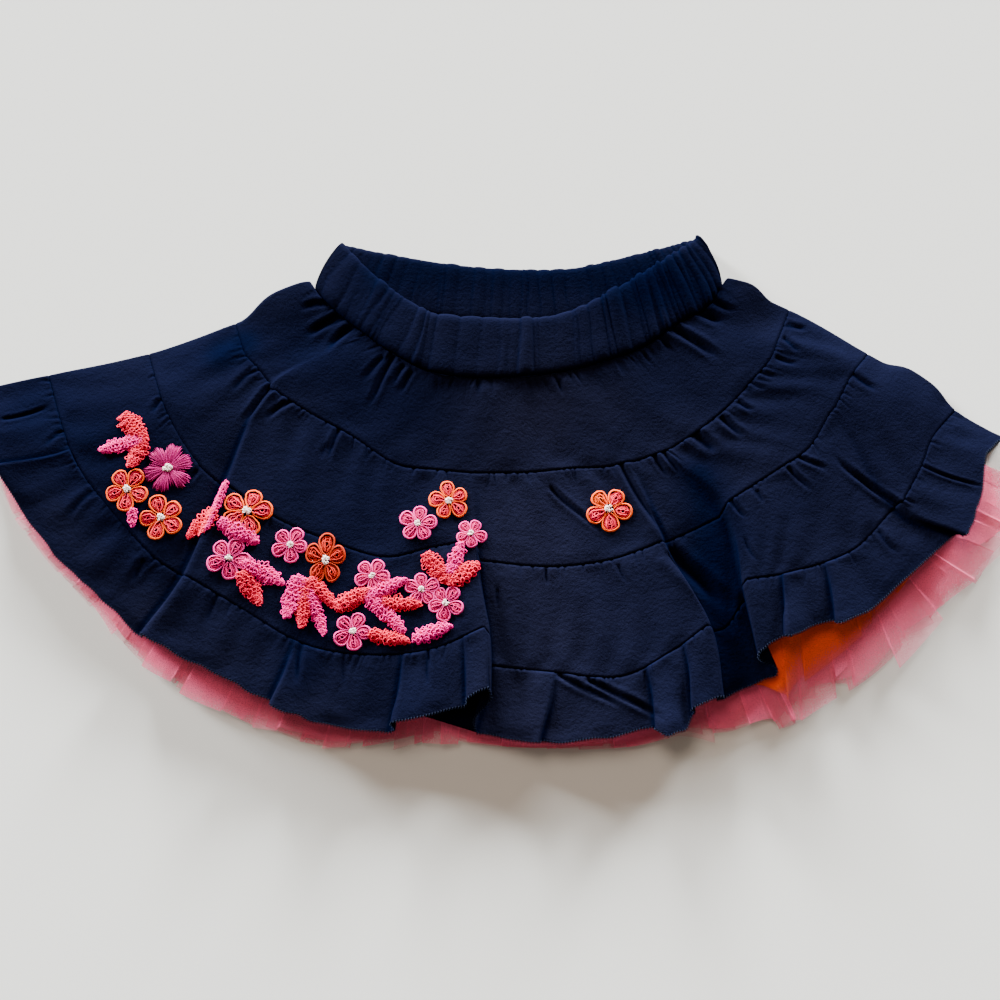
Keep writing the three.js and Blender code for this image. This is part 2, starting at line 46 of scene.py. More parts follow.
# The table top, the light and the camera
# A pale, matt table top, lit by a low window beyond the waist and a broad light over it, and seen
# almost from above as the skirt lies.
MIDDLE = np.array([-5.4, 10.7, 0.0])  # the skirt's middle, in the frame that the tables use
TABLE_SIZE = 40.0
TABLE_DROP = 0.0002  # how far the table top lies under the cloth, so the two don't flicker
LIGHTS = [
    # name, azimuth, elevation and spread in degrees, strength, colour
    ("window_light_1", -50, 8, 13, 17.0, (0.94, 1.0, 1.02)),
    ("window_light_2", -8, 8, 13, 17.0, (0.94, 1.0, 1.02)),
    ("window_light_3", 32, 8, 13, 17.0, (0.94, 1.0, 1.02)),
    ("ceiling_light", -30, 50, 30, 1.2, (1.0, 0.82, 0.68)),
]
ROOM_COLOUR = (1.0, 0.82, 0.68, 1)
ROOM_STRENGTH = 0.21
CAMERA_RISE = 76.0  # degrees above the table
CAMERA_ANGLE = 48.0
CAMERA_REACH = 672.0


def aim(thing, place, target):
    """Puts a light or camera at place, turned to face target, both in metres."""
    thing.location = place
    thing.rotation_euler = (Vector(target) - Vector(place)).to_track_quat("-Z", "Y").to_euler()


def add_light(name, azimuth, elevation, spread, strength, colour):
    """A distant light, by its direction and how wide it looks, in degrees.

    Azimuth 0 is beyond the waist. Its way in plan is the sine and cosine of its azimuth, both
    times the cosine of its elevation.
    """
    data = bpy.data.lights.new(name, "SUN")
    data.angle = math.radians(spread)
    data.energy = strength
    data.color = colour
    light = bpy.data.objects.new(name, data)
    bpy.context.collection.objects.link(light)
    turn, rise = math.radians(azimuth), math.radians(elevation)
    way = Vector((math.sin(turn) * math.cos(rise), math.cos(turn) * math.cos(rise), math.sin(rise)))
    aim(light, way, (0, 0, 0))


def new_material(name, roughness, specular):
    """A new material, its node tree and its Principled shader, as rough and shiny as given."""
    material = bpy.data.materials.new(name)
    material.use_nodes = True
    shader = material.node_tree.nodes["Principled BSDF"]
    shader.inputs["Roughness"].default_value = roughness
    shader.inputs["Specular IOR Level"].default_value = specular
    return material, material.node_tree, shader


def table_material():
    """Matt off-white paint."""
    paint, _, shader = new_material("table_paint", 0.9, 0.2)
    shader.inputs["Base Color"].default_value = (0.80, 0.785, 0.75, 1)
    return paint


bpy.ops.mesh.primitive_plane_add(size=TABLE_SIZE, location=(0, 0, -TABLE_DROP))
table = bpy.context.object
table.name = "table_top"
table.data.materials.append(table_material())

for row in LIGHTS:
    add_light(*row)
world = bpy.data.worlds.new("room")
bpy.context.scene.world = world
world.use_nodes = True
world.node_tree.nodes["Background"].inputs["Color"].default_value = ROOM_COLOUR
world.node_tree.nodes["Background"].inputs["Strength"].default_value = ROOM_STRENGTH

camera_data = bpy.data.cameras.new("camera")
camera_data.sensor_fit = "HORIZONTAL"
camera_data.angle = math.radians(CAMERA_ANGLE)
camera = bpy.data.objects.new("camera", camera_data)
bpy.context.collection.objects.link(camera)
rise = math.radians(CAMERA_RISE)
target = Vector(-MIDDLE * MM)
aim(camera, target + Vector((0, -math.cos(rise), math.sin(rise))) * CAMERA_REACH * MM, target)
bpy.context.scene.camera = camera

# The front of the skirt, as it lies
# Three tiers and a hem ruffle of navy crepe, each gathered under the one above and sewn to it. They
# lie over the net in six panels, with a fold between each and the next, on the lines of the solids.
LINES = [
    # A row for each line down the cloth: panel, share of the waist, lean in degrees from straight
    # down and depth in each tier, height of the cloth at each lower edge, and how far net shows
    ("left", 0.000, (-68, -69, -77, -77), (53, 56, 62, 39), (2.2, 2.2, 2.2, 2.2), None),
    ("left", 0.038, (-56, -66, -64, -82), (59, 56, 61, 43), (7, 7.8, 8, 8), 4),
    ("left", 0.081, (-55, -62, -54, -69), (60, 60, 61, 41), (8.4, 9, 9.2, 9.2), 5),
    ("left", 0.115, (-55, -52, -41, -55), (62, 62, 58, 41), (8.5, 9.5, 10, 10), 5),
    ("left", 0.140, (-58, -36, -26, -48), (64, 65, 59, 37), (9, 9.5, 9.5, 9), 6),
    ("left", 0.156, (-60, -24, -21, -33), (67, 66, 58, 41), (9.5, 8.5, 8, 7.5), 9),
    ("flowered", 0.166, (-59, -22, -19, -33), (66, 65, 58, 41), (9.5, 12.5, 13.5, 13.5), None),
    ("flowered", 0.206, (-46, -16, -18, -27), (60, 67, 56, 39), (9.5, 12, 12, 12), 16),
    ("flowered", 0.259, (-33, -11, -9, -18), (57, 65, 62, 36), (9.5, 11.5, 12, 12), 13),
    ("flowered", 0.320, (-20, -6, -5, -13), (61, 57, 57, 39), (9.5, 11.5, 12, 12), 12),
    ("flowered", 0.369, (-11, -3, 2, -1), (59, 48, 59, 35), (9.5, 11.5, 13, 14), 14),
    ("flowered", 0.417, (-5, 4, 7, 4), (59, 41, 52, 34), (9.5, 11.5, 15, 16), None),
    ("centre", 0.427, (-3, 2, 6, -12), (59, 53, 61, 38), (9.5, 10, 9.5, 9), 5),
    ("centre", 0.483, (11, 10, 3, -13), (60, 58, 61, 40), (9.5, 10.5, 11, 11), 1),
    ("centre", 0.545, (18, 17, 7, 4), (61, 59, 67, 32), (9.5, 11, 12.5, 13), 5),
    ("centre", 0.600, (21, 21, 15, 5), (64, 54, 61, 35), (9.5, 11, 13.5, 14), 10),
    ("centre", 0.650, (20, 20, 26, 6), (64, 52, 55, 41), (9.5, 12, 14.5, 15), None),
    ("valley", 0.660, (21, 20, 22, 11), (65, 52, 57, 38), (9.5, 9.5, 9, 8.7), 21),
    ("valley", 0.683, (23, 28, 17, 21), (65, 51, 59, 35), (9.5, 9, 9, 8.7), 25),
    ("valley", 0.706, (25, 38, 12, 23), (65, 51, 52, 45), (9.5, 9.2, 9, 8.7), 26),
    ("right", 0.716, (27, 45, 9, 6), (65, 46, 48, 41), (9.5, 11, 14, 15), None),
    ("right", 0.767, (33, 62, 2, 0), (62, 52, 63, 34), (9.5, 11, 12.5, 13), 42),
    ("right", 0.818, (38, 62, 18, 15), (60, 54, 66, 33), (9.5, 10.5, 11.5, 12), 34),
    ("right", 0.857, (43, 74, 29, 65), (58, 53, 68, 37), (9, 9.5, 9.2, 9), 30),
    ("flap", 0.867, (44, 75, 32, 60), (57, 54, 68, 41), (9, 9.5, 10.5, 13), None),
    ("flap", 0.900, (56, 74, 37, 60), (54, 49, 66, 38), (8.5, 9, 9.5, 10), 26),
    ("flap", 0.937, (64, 68, 44, 65), (48, 50, 61, 33), (7.2, 7.9, 8, 8), 12),
    ("flap", 1.000, (73, 58, 54, 58), (44, 55, 62, 32), (2.2, 2.2, 2.2, 2.2), None),
]
FRONT_BAND = [
    # The front waistband, which the lines hang from: share of the way across, foot and top edge
    (0.000, (-115, 132), (-99, 166)), (0.084, (-98, 115), (-85, 150)), (0.153, (-82, 102), (-68, 134)),
    (0.221, (-66, 90), (-53, 123)), (0.320, (-41, 77), (-37, 115)), (0.420, (-12, 73), (-9, 113)),
    (0.545, (24, 75), (25, 113)), (0.650, (54, 81), (52, 121)), (0.765, (86, 93), (79, 137)),
    (0.868, (110, 110), (101, 152)), (0.935, (127, 120), (115, 162)), (1.000, (138, 134), (125, 170)),
]
BAND_RISE = (4.8, 11.5)  # height of the front band's middle at the corners and at mid-waist
PANELS = ["left", "flowered", "centre", "valley", "right", "flap"]
# Folds between panels: the side that lies on top, and the tier in which the fold begins
FOLDS = [("right", 2), ("left", 2), ("left", 2), ("right", 2), ("right", 3)]
RUFFLES = [
    # Small folds of the hem ruffle: panel, share of its width, side on top, height, and how much
    # longer the cloth hangs on the upper side than on the lower, or less where it is negative
    ("left", 0.30, "right", 3.5, 1.0), ("flowered", 0.37, "right", 4.6, 3.0),
    ("flowered", 0.705, "right", 5.4, -6.0), ("flowered", 0.925, "right", 3.2, -4.0),
    ("centre", 0.25, "left", 3.0, 0.5), ("centre", 0.62, "right", 4.6, 1.0),
    ("centre", 0.82, "right", 4.6, -3.0), ("right", 0.27, "right", 6.8, 2.0),
    ("right", 0.52, "right", 5.0, 3.0),
]
RUFFLE_RUN = 0.16  # share of the panel over which a ruffle's fold levels out again
RUFFLE_OPEN = 0.02  # share of the panel that such a fold takes up
RUFFLE_COLUMNS = 16
FULL_TUCK = 5.0  # drop at which a fold doubles right back
TUCK_TURN = 3.3  # radians that such a fold turns through
TUCK_COLUMNS = 26
LOW_SHADE, HIGH_SHADE = 1.7, 3.0  # reach of the shade from a fold's foot, outwards and up the fold
SHADE_RISE = 1.8  # height of a fold whose foot is fully dark


def curve_weights(count, t):
    """How much each of count points weighs at the places t of a smooth curve through them.

    It is the Catmull-Rom cubic of the four nearest points. A point beyond an end is the end point
    mirrored about its neighbour.
    """
    first = np.clip(np.floor(t).astype(int), 0, count - 2)
    f = t - first
    cubic = [(-f + 2 * f**2 - f**3) / 2, (2 - 5 * f**2 + 3 * f**3) / 2,
             (f + 4 * f**2 - 3 * f**3) / 2, (f**3 - f**2) / 2]
    weights = np.zeros((t.size, count + 2))
    for k in range(4):
        weights[np.arange(t.size), first + k] += cubic[k]
    weights[:, 1] += 2 * weights[:, 0]
    weights[:, 2] -= weights[:, 0]
    weights[:, -2] += 2 * weights[:, -1]
    weights[:, -3] -= weights[:, -1]
    return weights[:, 1:-1]


def band_curve(rows, edge, share):
    """Points of a waistband's foot (edge 1) or top (edge 2), smooth through its rows."""
    places = np.interp(share, [row[0] for row in rows], np.arange(len(rows)))
    return curve_weights(len(rows), places) @ np.array([row[edge] for row in rows], float)


def band_height(share):
    """Height of the front band's middle: it rises as a power of a sine towards mid-waist."""
    low, high = BAND_RISE
    return low + (high - low) * np.clip(np.sin(np.pi * share), 0, 1) ** 0.8


def line_points(line):
    """The five points of a line down the cloth: each tier's step leans from straight down."""
    share = np.array([line[1]])
    foot = band_curve(FRONT_BAND, 1, share)[0]
    lean = np.radians(np.array(line[2], float))
    steps = np.stack([np.sin(lean), -np.cos(lean)], 1) * np.array(line[3], float)[:, None]
    plan = np.vstack([foot, foot + np.cumsum(steps, 0)])
    return np.column_stack([plan, [band_height(share)[0], *line[4]]])


PANEL_LINES = [np.array([line_points(line) for line in LINES if line[0] == name]) for name in PANELS]


def panel_points(panel, place, down):
    """Grid of a panel's points, rows by down (tiers from the waist) and columns by place (0 to 1)."""
    lines = PANEL_LINES[panel]
    along = np.einsum("rk,lkx->lrx", curve_weights(5, down), lines)
    return np.einsum("cl,lrx->rcx", curve_weights(len(lines), place * (len(lines) - 1)), along)


def smooth(x):
    """Eases from 0 to 1 as x does."""
    x = np.clip(x, 0, 1)
    return x * x * (3 - 2 * x)


def ruffled(panel, place, down):
    """A panel's points with its ruffle's folds.

    Beside each fold the cloth is raised by its height, less in proportion to the way from it, and
    hangs longer by a share that falls off in the same way over 1.6 times that reach.
    """
    points = panel_points(panel, place, down)
    if down[-1] > 3:
        grown = (smooth(down - 3) * 0.75 + 0.25)[:, None]
        fall = points[-1, :, :2] - points[0, :, :2]
        fall = fall / np.linalg.norm(fall, axis=1, keepdims=True)
        for name, at, top, drop, longer in RUFFLES:
            if name == PANELS[panel]:
                beside = place - at if top == "right" else at - place
                share = np.where(beside > 0, np.clip(1 - beside / RUFFLE_RUN, 0, 1), 0)[None, :]
                points[..., 2] += grown * drop * share
                side = beside if longer > 0 else -beside
                hang = np.where(side > 0, np.clip(1 - side / (1.6 * RUFFLE_RUN), 0, 1), 0)[None, :]
                points[..., :2] += (abs(longer) * smooth(down - 3)[:, None] * hang)[..., None] * fall
    return points


def tuck(share, drop):
    """How far a fold that doubles back goes across and up, rows by drop and columns by share.

    Its direction swings from level to past upright and back as the square of a sine.
    """
    steps = 96
    turn = TUCK_TURN * np.clip(drop / FULL_TUCK, 0.002, 1)[:, None]
    angle = turn * np.sin(np.pi * (np.arange(steps) + 0.5) / steps)[None, :] ** 2
    start = np.zeros((drop.size, 1))
    run = np.hstack([start, np.cumsum(np.cos(angle), 1)])
    climb = np.hstack([start, np.cumsum(np.sin(angle), 1)])
    place = share * steps
    low = np.clip(np.floor(place).astype(int), 0, steps - 1)
    part = (place - low)[None, :]
    run_here = run[:, low] * (1 - part) + run[:, low + 1] * part
    climb_here = climb[:, low] * (1 - part) + climb[:, low + 1] * part
    scale = drop[:, None] / climb[:, -1:]
    return (run_here - run[:, -1:] * share[None, :]) * scale, climb_here / climb[:, -1:]


def fold_points(low, high, aside, share):
    """Grid across a fold from a low edge to a high one: a straight line, swung out as tuck says."""
    drop = np.maximum(high[:, 2] - low[:, 2], 0)
    across, up = tuck(share, drop)
    points = low[:, None] * (1 - share)[None, :, None] + high[:, None] * share[None, :, None]
    points = points + aside[:, None] * across[..., None]
    points[..., 2] = low[:, None, 2] + drop[:, None] * up
    return points


def fold_aside(panel, place, down, top):
    """Level direction square to the cloth's line, from the low side of a fold to the high side."""
    ahead = panel_points(panel, np.array([place]), down + 0.05)[:, 0]
    line = ahead - panel_points(panel, np.array([place]), down - 0.05)[:, 0]
    aside = np.column_stack([-line[:, 1], line[:, 0], np.zeros(down.size)])
    aside /= np.linalg.norm(aside, axis=1, keepdims=True)
    return aside if top == "right" else -aside


def panel_pieces(panel, tier, down, pitch):
    """Blocks of columns of one tier of a panel, each with the side of its low edge if it is a fold."""
    ends = panel_points(panel, np.array([0.0, 1.0]), np.array([float(tier)]))[0]
    width = np.linalg.norm(ends[1] - ends[0])
    folds = [row for row in RUFFLES if row[0] == PANELS[panel]] if tier == 4 else []
    blocks, start = [], 0.0
    for _, at, top, _, _ in folds:
        edge = np.linspace(start, at - RUFFLE_OPEN / 2, max(2, int(width * (at - start) / pitch)))
        blocks.append((ruffled(panel, edge, down), None))
        sides = ruffled(panel, np.array([at - RUFFLE_OPEN / 2, at + RUFFLE_OPEN / 2]), down)
        aside = fold_aside(panel, at, down, top)
        share = np.linspace(0, 1, RUFFLE_COLUMNS)[1:-1]
        if top == "right":
            blocks.append((fold_points(sides[:, 0], sides[:, 1], aside, share), "left"))
        else:
            blocks.append((fold_points(sides[:, 1], sides[:, 0], aside, share[::-1]), "right"))
        start = at + RUFFLE_OPEN / 2
    last = np.linspace(start, 1.0, max(2, int(width * (1 - start) / pitch)))
    return blocks + [(ruffled(panel, last, down), None)]


def tier_grid(tier, down, pitch):
    """One tier of the whole front, and the columns at the low and high edge of each fold in it."""
    blocks = []
    for panel in range(len(PANELS)):
        if panel and tier >= FOLDS[panel - 1][1]:
            top = FOLDS[panel - 1][0]
            left = panel_points(panel - 1, np.array([1.0]), down)[:, 0]
            right = panel_points(panel, np.array([0.0]), down)[:, 0]
            aside = fold_aside(panel, 0.0, down, top)
            share = np.linspace(0, 1, TUCK_COLUMNS)[1:-1]
            if top == "right":
                blocks.append((fold_points(left, right, aside, share), "left"))
            else:
                blocks.append((fold_points(right, left, aside, share[::-1]), "right"))
        blocks += panel_pieces(panel, tier, down, pitch)
    folds, column = [], 0
    for points, low in blocks:
        before, after = column - 1, column + points.shape[1]
        if low:
            folds.append((before, after) if low == "left" else (after, before))
        column = after
    return np.concatenate([points for points, _ in blocks], axis=1), folds


def fold_shade(points, folds):
    """Painted shade in the angle under each fold: a bell curve of the way along the cloth from its
    foot.
    """
    step = np.linalg.norm(np.diff(points, axis=1), axis=2)
    along = np.hstack([np.zeros((len(points), 1)), step.cumsum(1)])
    dark = np.zeros(along.shape)
    for low, high in folds:
        away = (along - along[:, low:low + 1]) * np.sign(low - high)
        near = np.exp(-((away / np.where(away > 0, LOW_SHADE, HIGH_SHADE)) ** 2))
        rise = np.clip((points[:, high, 2] - points[:, low, 2]) / SHADE_RISE, 0, 1)
        dark = np.maximum(dark, near * rise[:, None])
    return dark


def evened(height, reach):
    """Evens out a height along each row by its mean over some columns to each side."""
    padded = np.pad(height, ((0, 0), (reach + 1, reach)), mode="edge").cumsum(1)
    return (padded[:, 2 * reach + 1:] - padded[:, :-2 * reach - 1]) / (2 * reach + 1)


def grid_quads(rows, columns, wrap=False):
    """Corner numbers of the quads of a grid, rows down and columns across."""
    corner = np.arange(rows * columns).reshape(rows, columns)
    if wrap:
        corner = np.vstack([corner, corner[:1]])
    quads = np.stack([corner[:-1, :-1], corner[1:, :-1], corner[1:, 1:], corner[:-1, 1:]], -1)
    return quads.reshape(-1, 4)


def make_mesh(name, points, quads, masks=None):
    """A mesh object from points in the tables' frame, with a value at each point for each mask."""
    place = (points.reshape(-1, 3) - MIDDLE) * MM
    mesh = bpy.data.meshes.new(name)
    mesh.vertices.add(len(place))
    mesh.vertices.foreach_set("co", place.ravel())
    mesh.loops.add(quads.size)
    mesh.loops.foreach_set("vertex_index", quads.ravel())
    mesh.polygons.add(len(quads))
    mesh.polygons.foreach_set("loop_start", np.arange(0, quads.size, 4))
    mesh.polygons.foreach_set("use_smooth", np.ones(len(quads), bool))
    mesh.update(calc_edges=True)
    for mask, values in (masks or {}).items():
        mesh.attributes.new(mask, "FLOAT", "POINT").data.foreach_set("value", np.ravel(values))
    piece = bpy.data.objects.new(name, mesh)
    bpy.context.collection.objects.link(piece)
    return piece


def thicken(piece, wall):
    """Gives a sheet its thickness, half to each side."""
    solid = piece.modifiers.new("wall", "SOLIDIFY")
    solid.thickness = wall * MM
    solid.offset = 0.0


def wear(piece, material, slot, *solids):
    """Gives a piece its material and lets it stand for its solids. The slot is not used."""
    piece.data.materials.append(material)
    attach(piece, "root")
    if solids:
        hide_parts(*solids)


# The crepe of the front tiers
# A thin, matt navy cloth with a fine crinkle. Each strip is drawn up on a thread and sewn under the
# one above, so the seams sink into it and small gathers and creases run down from them.
CREPE_WALL = 0.5
CREPE_COLOUR = (0.0031, 0.0037, 0.0118, 1)
CREPE_SHADE_COLOUR = (0.0005, 0.0013, 0.0078, 1)  # painted shade: the colour where the painted tone darkens the cloth
CREASES = [
    # Larger creases, placed as the photo shows them: tier, start, end, depth, width
    (1, (-97, 113), (-122, 103), 1.2, 3), (1, (-71, 86), (-85, 71), 0.8, 2.2),
    (1, (-108, 123), (-125, 121), 1.0, 2.4), (1, (-100, 115), (-119, 104), 1.3, 2.2),
    (1, (-86, 108), (-108, 95), 0.8, 2.4), (1, (-63, 87), (-82, 54), 1.3, 2.0),
    (1, (-58, 81), (-66, 69), 0.9, 1.8), (1, (-53, 77), (-61, 63), 0.8, 1.8),
    (1, (107, 108), (134, 84), 2.0, 2.8), (1, (99, 103), (103, 91), 0.8, 2),
    (1, (122, 120), (137, 109), 1.6, 3), (1, (36, 72), (37, 64), 0.6, 2),
    (1, (73, 84), (77, 74), 0.6, 2), (1, (-92, 107), (-108, 90), 0.8, 2.4),
    (1, (-12, 72), (-13, 60), 0.6, 1.8), (1, (131, 127), (146, 117), 1.0, 2.2),
    (2, (134, 49), (145, 35), 1.6, 2.2), (2, (116, 40), (129, 25), 1.8, 3.6),
    (2, (98, 29), (107, 12), 1.3, 1.7), (2, (92, 26), (99, 11), 1.2, 1.7),
    (2, (75, 19), (95, -29), 1.3, 2.0), (2, (175, 101), (184, 90), 1.0, 2.0),
    (2, (178, 111), (191, 107), 1.0, 2.0), (2, (144, 59), (152, 52), 1.0, 1.8),
    (2, (152, 72), (161, 66), 0.9, 1.6), (2, (158, 79), (168, 74), 0.9, 1.6),
    (2, (-138, 67), (-157, 45), 1.7, 2.2), (2, (-126, 58), (-144, 48), 1.3, 2.0),
    (2, (-96, 40), (-104, 22), 1.2, 1.9), (2, (33, 5), (61, -26), 1.5, 1.6),
    (2, (-103, 31), (-107, 23), 0.6, 2), (2, (-242, 81), (-211, 72), 1.3, 2.0),
    (2, (169, 88), (182, 82), 0.8, 1.8), (2, (-151, 78), (-164, 64), 0.7, 2.4),
    (3, (179, 24), (195, 15), 1.3, 1.6), (3, (172, 17), (184, 2), 1.2, 1.6),
    (3, (238, -12), (198, 28), 2.0, 2.0), (3, (152, 3), (155, -5), 0.7, 1.6),
    (3, (137, -3), (144, -15), 1.0, 1.6), (3, (143, -27), (149, -41), 0.6, 1.5),
    (3, (102, -34), (131, -70), 2.0, 4.5), (3, (27, -44), (27, -53), 0.8, 1.4),
    (3, (-1, -55), (-1, -67), 0.6, 1.6), (3, (-204, 61), (-210, 51), 0.8, 2),
    (3, (-180, 15), (-187, 6), 0.8, 2), (3, (215, 77), (229, 65), 0.8, 2.4),
    (3, (-78, -39), (-80, -48), 0.5, 1.5), (3, (69, -42), (73, -52), 0.5, 1.5),
    (4, (36, -104), (71, -126), 1.6, 1.6), (4, (53, -107), (92, -133), 2.0, 1.8),
    (4, (-112, -86), (-116, -111), 1.2, 2.6), (4, (-207, -39), (-214, -52), 0.8, 2.4),
    (4, (-299, 50), (-270, 57), 0.9, 1.5), (4, (254, 19), (288, 3), 1.1, 1.1),
    (4, (82, -103), (85, -113), 0.6, 1.6), (4, (-88, -94), (-88, -113), 0.5, 2),
    (4, (222, -22), (232, -36), 0.5, 2), (4, (-263, 40), (-273, 30), 0.6, 2),
    (4, (-241, 2), (-256, -15), 0.6, 2.4), (4, (-161, -58), (-169, -77), 0.6, 2.4),
    (4, (-40, -92), (-41, -113), 0.7, 2),
]
SHADE_AND_LIGHT_PATCHES = [
    # Painted shade and painted light on the crepe: darker where shade falls in hollows, in the valley
    # and under the front band, lighter where light falls on rises. From, to, reach, tone, and the
    # height that the cloth lies under there, which is 99 where it doesn't matter
    ((-280, 55), (-215, 15), 45, 0.5, 99), ((-169, 92), (-158, 98), 13, 0.25, 99),
    ((-80, 45), (-85, -75), 26, 0.85, 99), ((10, 20), (35, -130), 46, 1.8, 99),
    ((-115, 95), (-60, 60), 34, 0.6, 99), ((-20, 60), (60, 62), 18, 1.15, 99),
    ((40, 45), (150, 20), 30, 1.3, 99), ((118, 12), (137, -75), 16, 0.2, 13.5),
    ((118, -50), (134, -108), 24, 0.2, 11), ((95, 130), (128, 128), 16, 0.35, 99),
    ((-110, -82), (-114, -106), 13, 0.6, 99), ((-205, -35), (-225, -30), 22, 0.8, 99),
    ((150, 100), (230, 60), 22, 0.85, 99), ((-75, 145), (95, 145), 20, 0.4, 99),
    ((-262, -12), (-205, -66), 12, 1.35, 99), ((-200, -70), (-95, -133), 18, 1.35, 99),
    ((75, 124), (122, 148), 17, 0.55, 99), ((-125, 92), (-190, 84), 20, 0.8, 99),
]
PUFFS = [
    # Where the cloth balloons: tier, middle, reach, how far it is pushed across the table, and up
    (1, (-133, 130), 23, (-1, 9), 2.0), (1, (147, 130), 17, (1, 8), 2.0),
    (3, (252, 66), 20, (3, 6), 1.0), (4, (97, -131), 9, (1, -7), 2.5),
]
# Small gathers under each tier's seam: the nearest and furthest to the next, and their length
GATHERS = {1: (2.5, 12, 13), 2: (2.2, 13, 8), 3: (2.2, 14, 6.5), 4: (2.2, 12, 7)}
SEAM_DEPTH = 0.6
SEAM_HALF = 0.6  # how far from the stitches the cloth rises again
SWELL = 1.5  # height of the broad waves in the cloth
TIER_ROWS, RUFFLE_ROWS = 40, 30
COLUMN_PITCH = 0.82
EVEN_COLUMNS = 14  # how far along tier 1 its height is evened
HEM_DRIFT = 0.8  # how far the hem runs long and short


def mask_value(tree, name):
    """The value that each point carries under a name."""
    mask = tree.nodes.new("ShaderNodeAttribute")
    mask.attribute_name = name
    return mask.outputs["Fac"]


def noise_value(tree, scale, detail=2.0, roughness=0.5):
    """A noise over the object's own coordinates."""
    place = tree.nodes.new("ShaderNodeTexCoord")
    noise = tree.nodes.new("ShaderNodeTexNoise")
    noise.inputs["Scale"].default_value = scale
    noise.inputs["Detail"].default_value = detail
    noise.inputs["Roughness"].default_value = roughness
    tree.links.new(place.outputs["Object"], noise.inputs["Vector"])
    return noise.outputs["Fac"]


def mapped(tree, value, start, end, low, high):
    """A value that runs from low to high while another runs from start to end."""
    span = tree.nodes.new("ShaderNodeMapRange")
    span.inputs["From Min"].default_value = start
    span.inputs["From Max"].default_value = end
    span.inputs["To Min"].default_value = low
    span.inputs["To Max"].default_value = high
    tree.links.new(value, span.inputs["Value"])
    return span.outputs["Result"]


def product(tree, first, second, clamped=False):
    """Two values multiplied, kept from 0 to 1 if clamped."""
    both = tree.nodes.new("ShaderNodeMath")
    both.operation = "MULTIPLY"
    both.use_clamp = clamped
    tree.links.new(first, both.inputs[0])
    tree.links.new(second, both.inputs[1])
    return both.outputs["Value"]


def bumped(tree, height, distance, strength):
    """The Bump node that a height feeds."""
    bump = tree.nodes.new("ShaderNodeBump")
    bump.inputs["Distance"].default_value = distance
    bump.inputs["Strength"].default_value = strength
    tree.links.new(height, bump.inputs["Height"])
    return bump


def dye_and_shade_mix(tree, share, first, second):
    """The node that goes from one colour to another with a share."""
    dye = tree.nodes.new("ShaderNodeMix")
    dye.data_type = "RGBA"
    dye.inputs["A"].default_value = first
    dye.inputs["B"].default_value = second
    tree.links.new(share, dye.inputs["Factor"])
    return dye


def crepe_material():
    """Matt navy crepe: a fine crinkle, a broader rumple and soft clouding, with painted shade in its
    creases, folds and seams, and painted shade and light from the tone patches.

    The share of its full colour is the clouding times the painted tone, times what the painted crease
    shade leaves: 1 less 0.93 of that shade.
    """
    cloth, tree, shader = new_material("navy_crepe", 0.85, 0.0)
    cloud = mapped(tree, noise_value(tree, scale=14.0, detail=3.0), 0.3, 0.7, 0.85, 1.2)
    # Painted shade: the crease mask takes up to 0.93 of the colour away.
    unshaded = tree.nodes.new("ShaderNodeMath")
    unshaded.operation = "MULTIPLY_ADD"
    unshaded.inputs[1].default_value = -0.93
    unshaded.inputs[2].default_value = 1.0
    tree.links.new(mask_value(tree, "crease_shade_and_pleat_edge"), unshaded.inputs[0])
    shade = product(tree, cloud, unshaded.outputs["Value"])
    # Painted shade and light: the painted tone mixes from the shade colour to the crepe colour, and
    # past it.
    dye = dye_and_shade_mix(tree, product(tree, shade, mask_value(tree, "painted_tone")), CREPE_SHADE_COLOUR, CREPE_COLOUR)
    dye.clamp_factor = False
    tree.links.new(dye.outputs["Result"], shader.inputs["Base Color"])
    fine = noise_value(tree, scale=520.0, detail=4.0, roughness=0.65)
    crinkle = bumped(tree, fine, distance=0.0006, strength=0.75)
    rumple = bumped(tree, noise_value(tree, scale=95.0, detail=3.0), distance=0.002, strength=0.3)
    tree.links.new(crinkle.outputs["Normal"], rumple.inputs["Normal"])
    tree.links.new(rumple.outputs["Normal"], shader.inputs["Normal"])
    return cloth


def grid_normals(points):
    """Upward direction at each point of a grid."""
    normal = np.cross(np.gradient(points, axis=0), np.gradient(points, axis=1))
    return normal / np.linalg.norm(normal, axis=2, keepdims=True)


def grid_lengths(points):
    """How far down the cloth each point lies, and how far along its top edge each column does."""
    fall = np.linalg.norm(np.diff(points, axis=0), axis=2).cumsum(0)
    along = np.linalg.norm(np.diff(points[0], axis=0), axis=1).cumsum()
    return np.vstack([np.zeros((1, points.shape[1])), fall]), np.concatenate([[0], along])


def trough(beside, width):
    """Depth across a crease, by the distance beside it: a soft valley between two low ridges."""
    return np.exp(-((beside / width) ** 2)) - 0.35 * np.exp(-(((beside - 2.1 * width) / width) ** 2))


def placed_creases(points, tier):
    """Depth and painted shade of the creases in the table, fading towards their far ends.

    Each is a trough across a line that bows as a sine, with painted shade as a bell curve along its
    bottom.
    """
    depth, dark = np.zeros(points.shape[:2]), np.zeros(points.shape[:2])
    for number, start, end, deep, width in CREASES:
        if number == tier:
            offset = points[..., :2] - np.array(start, float)
            run = np.array(end, float) - np.array(start, float)
            share = offset @ run / (run @ run)
            bow = 0.05 * np.linalg.norm(run) * np.sin(3.1 * share + deep)
            beside = np.abs(offset @ np.array([-run[1], run[0]]) / np.linalg.norm(run) + bow)
            fade = smooth((share + 0.1) / 0.1) * smooth((1 - share) / 0.45)
            depth += deep * fade * trough(beside, 0.8 * width)
            dark += min(deep, 1) * fade * np.exp(-((beside / (0.5 * width)) ** 2))
    return depth, dark


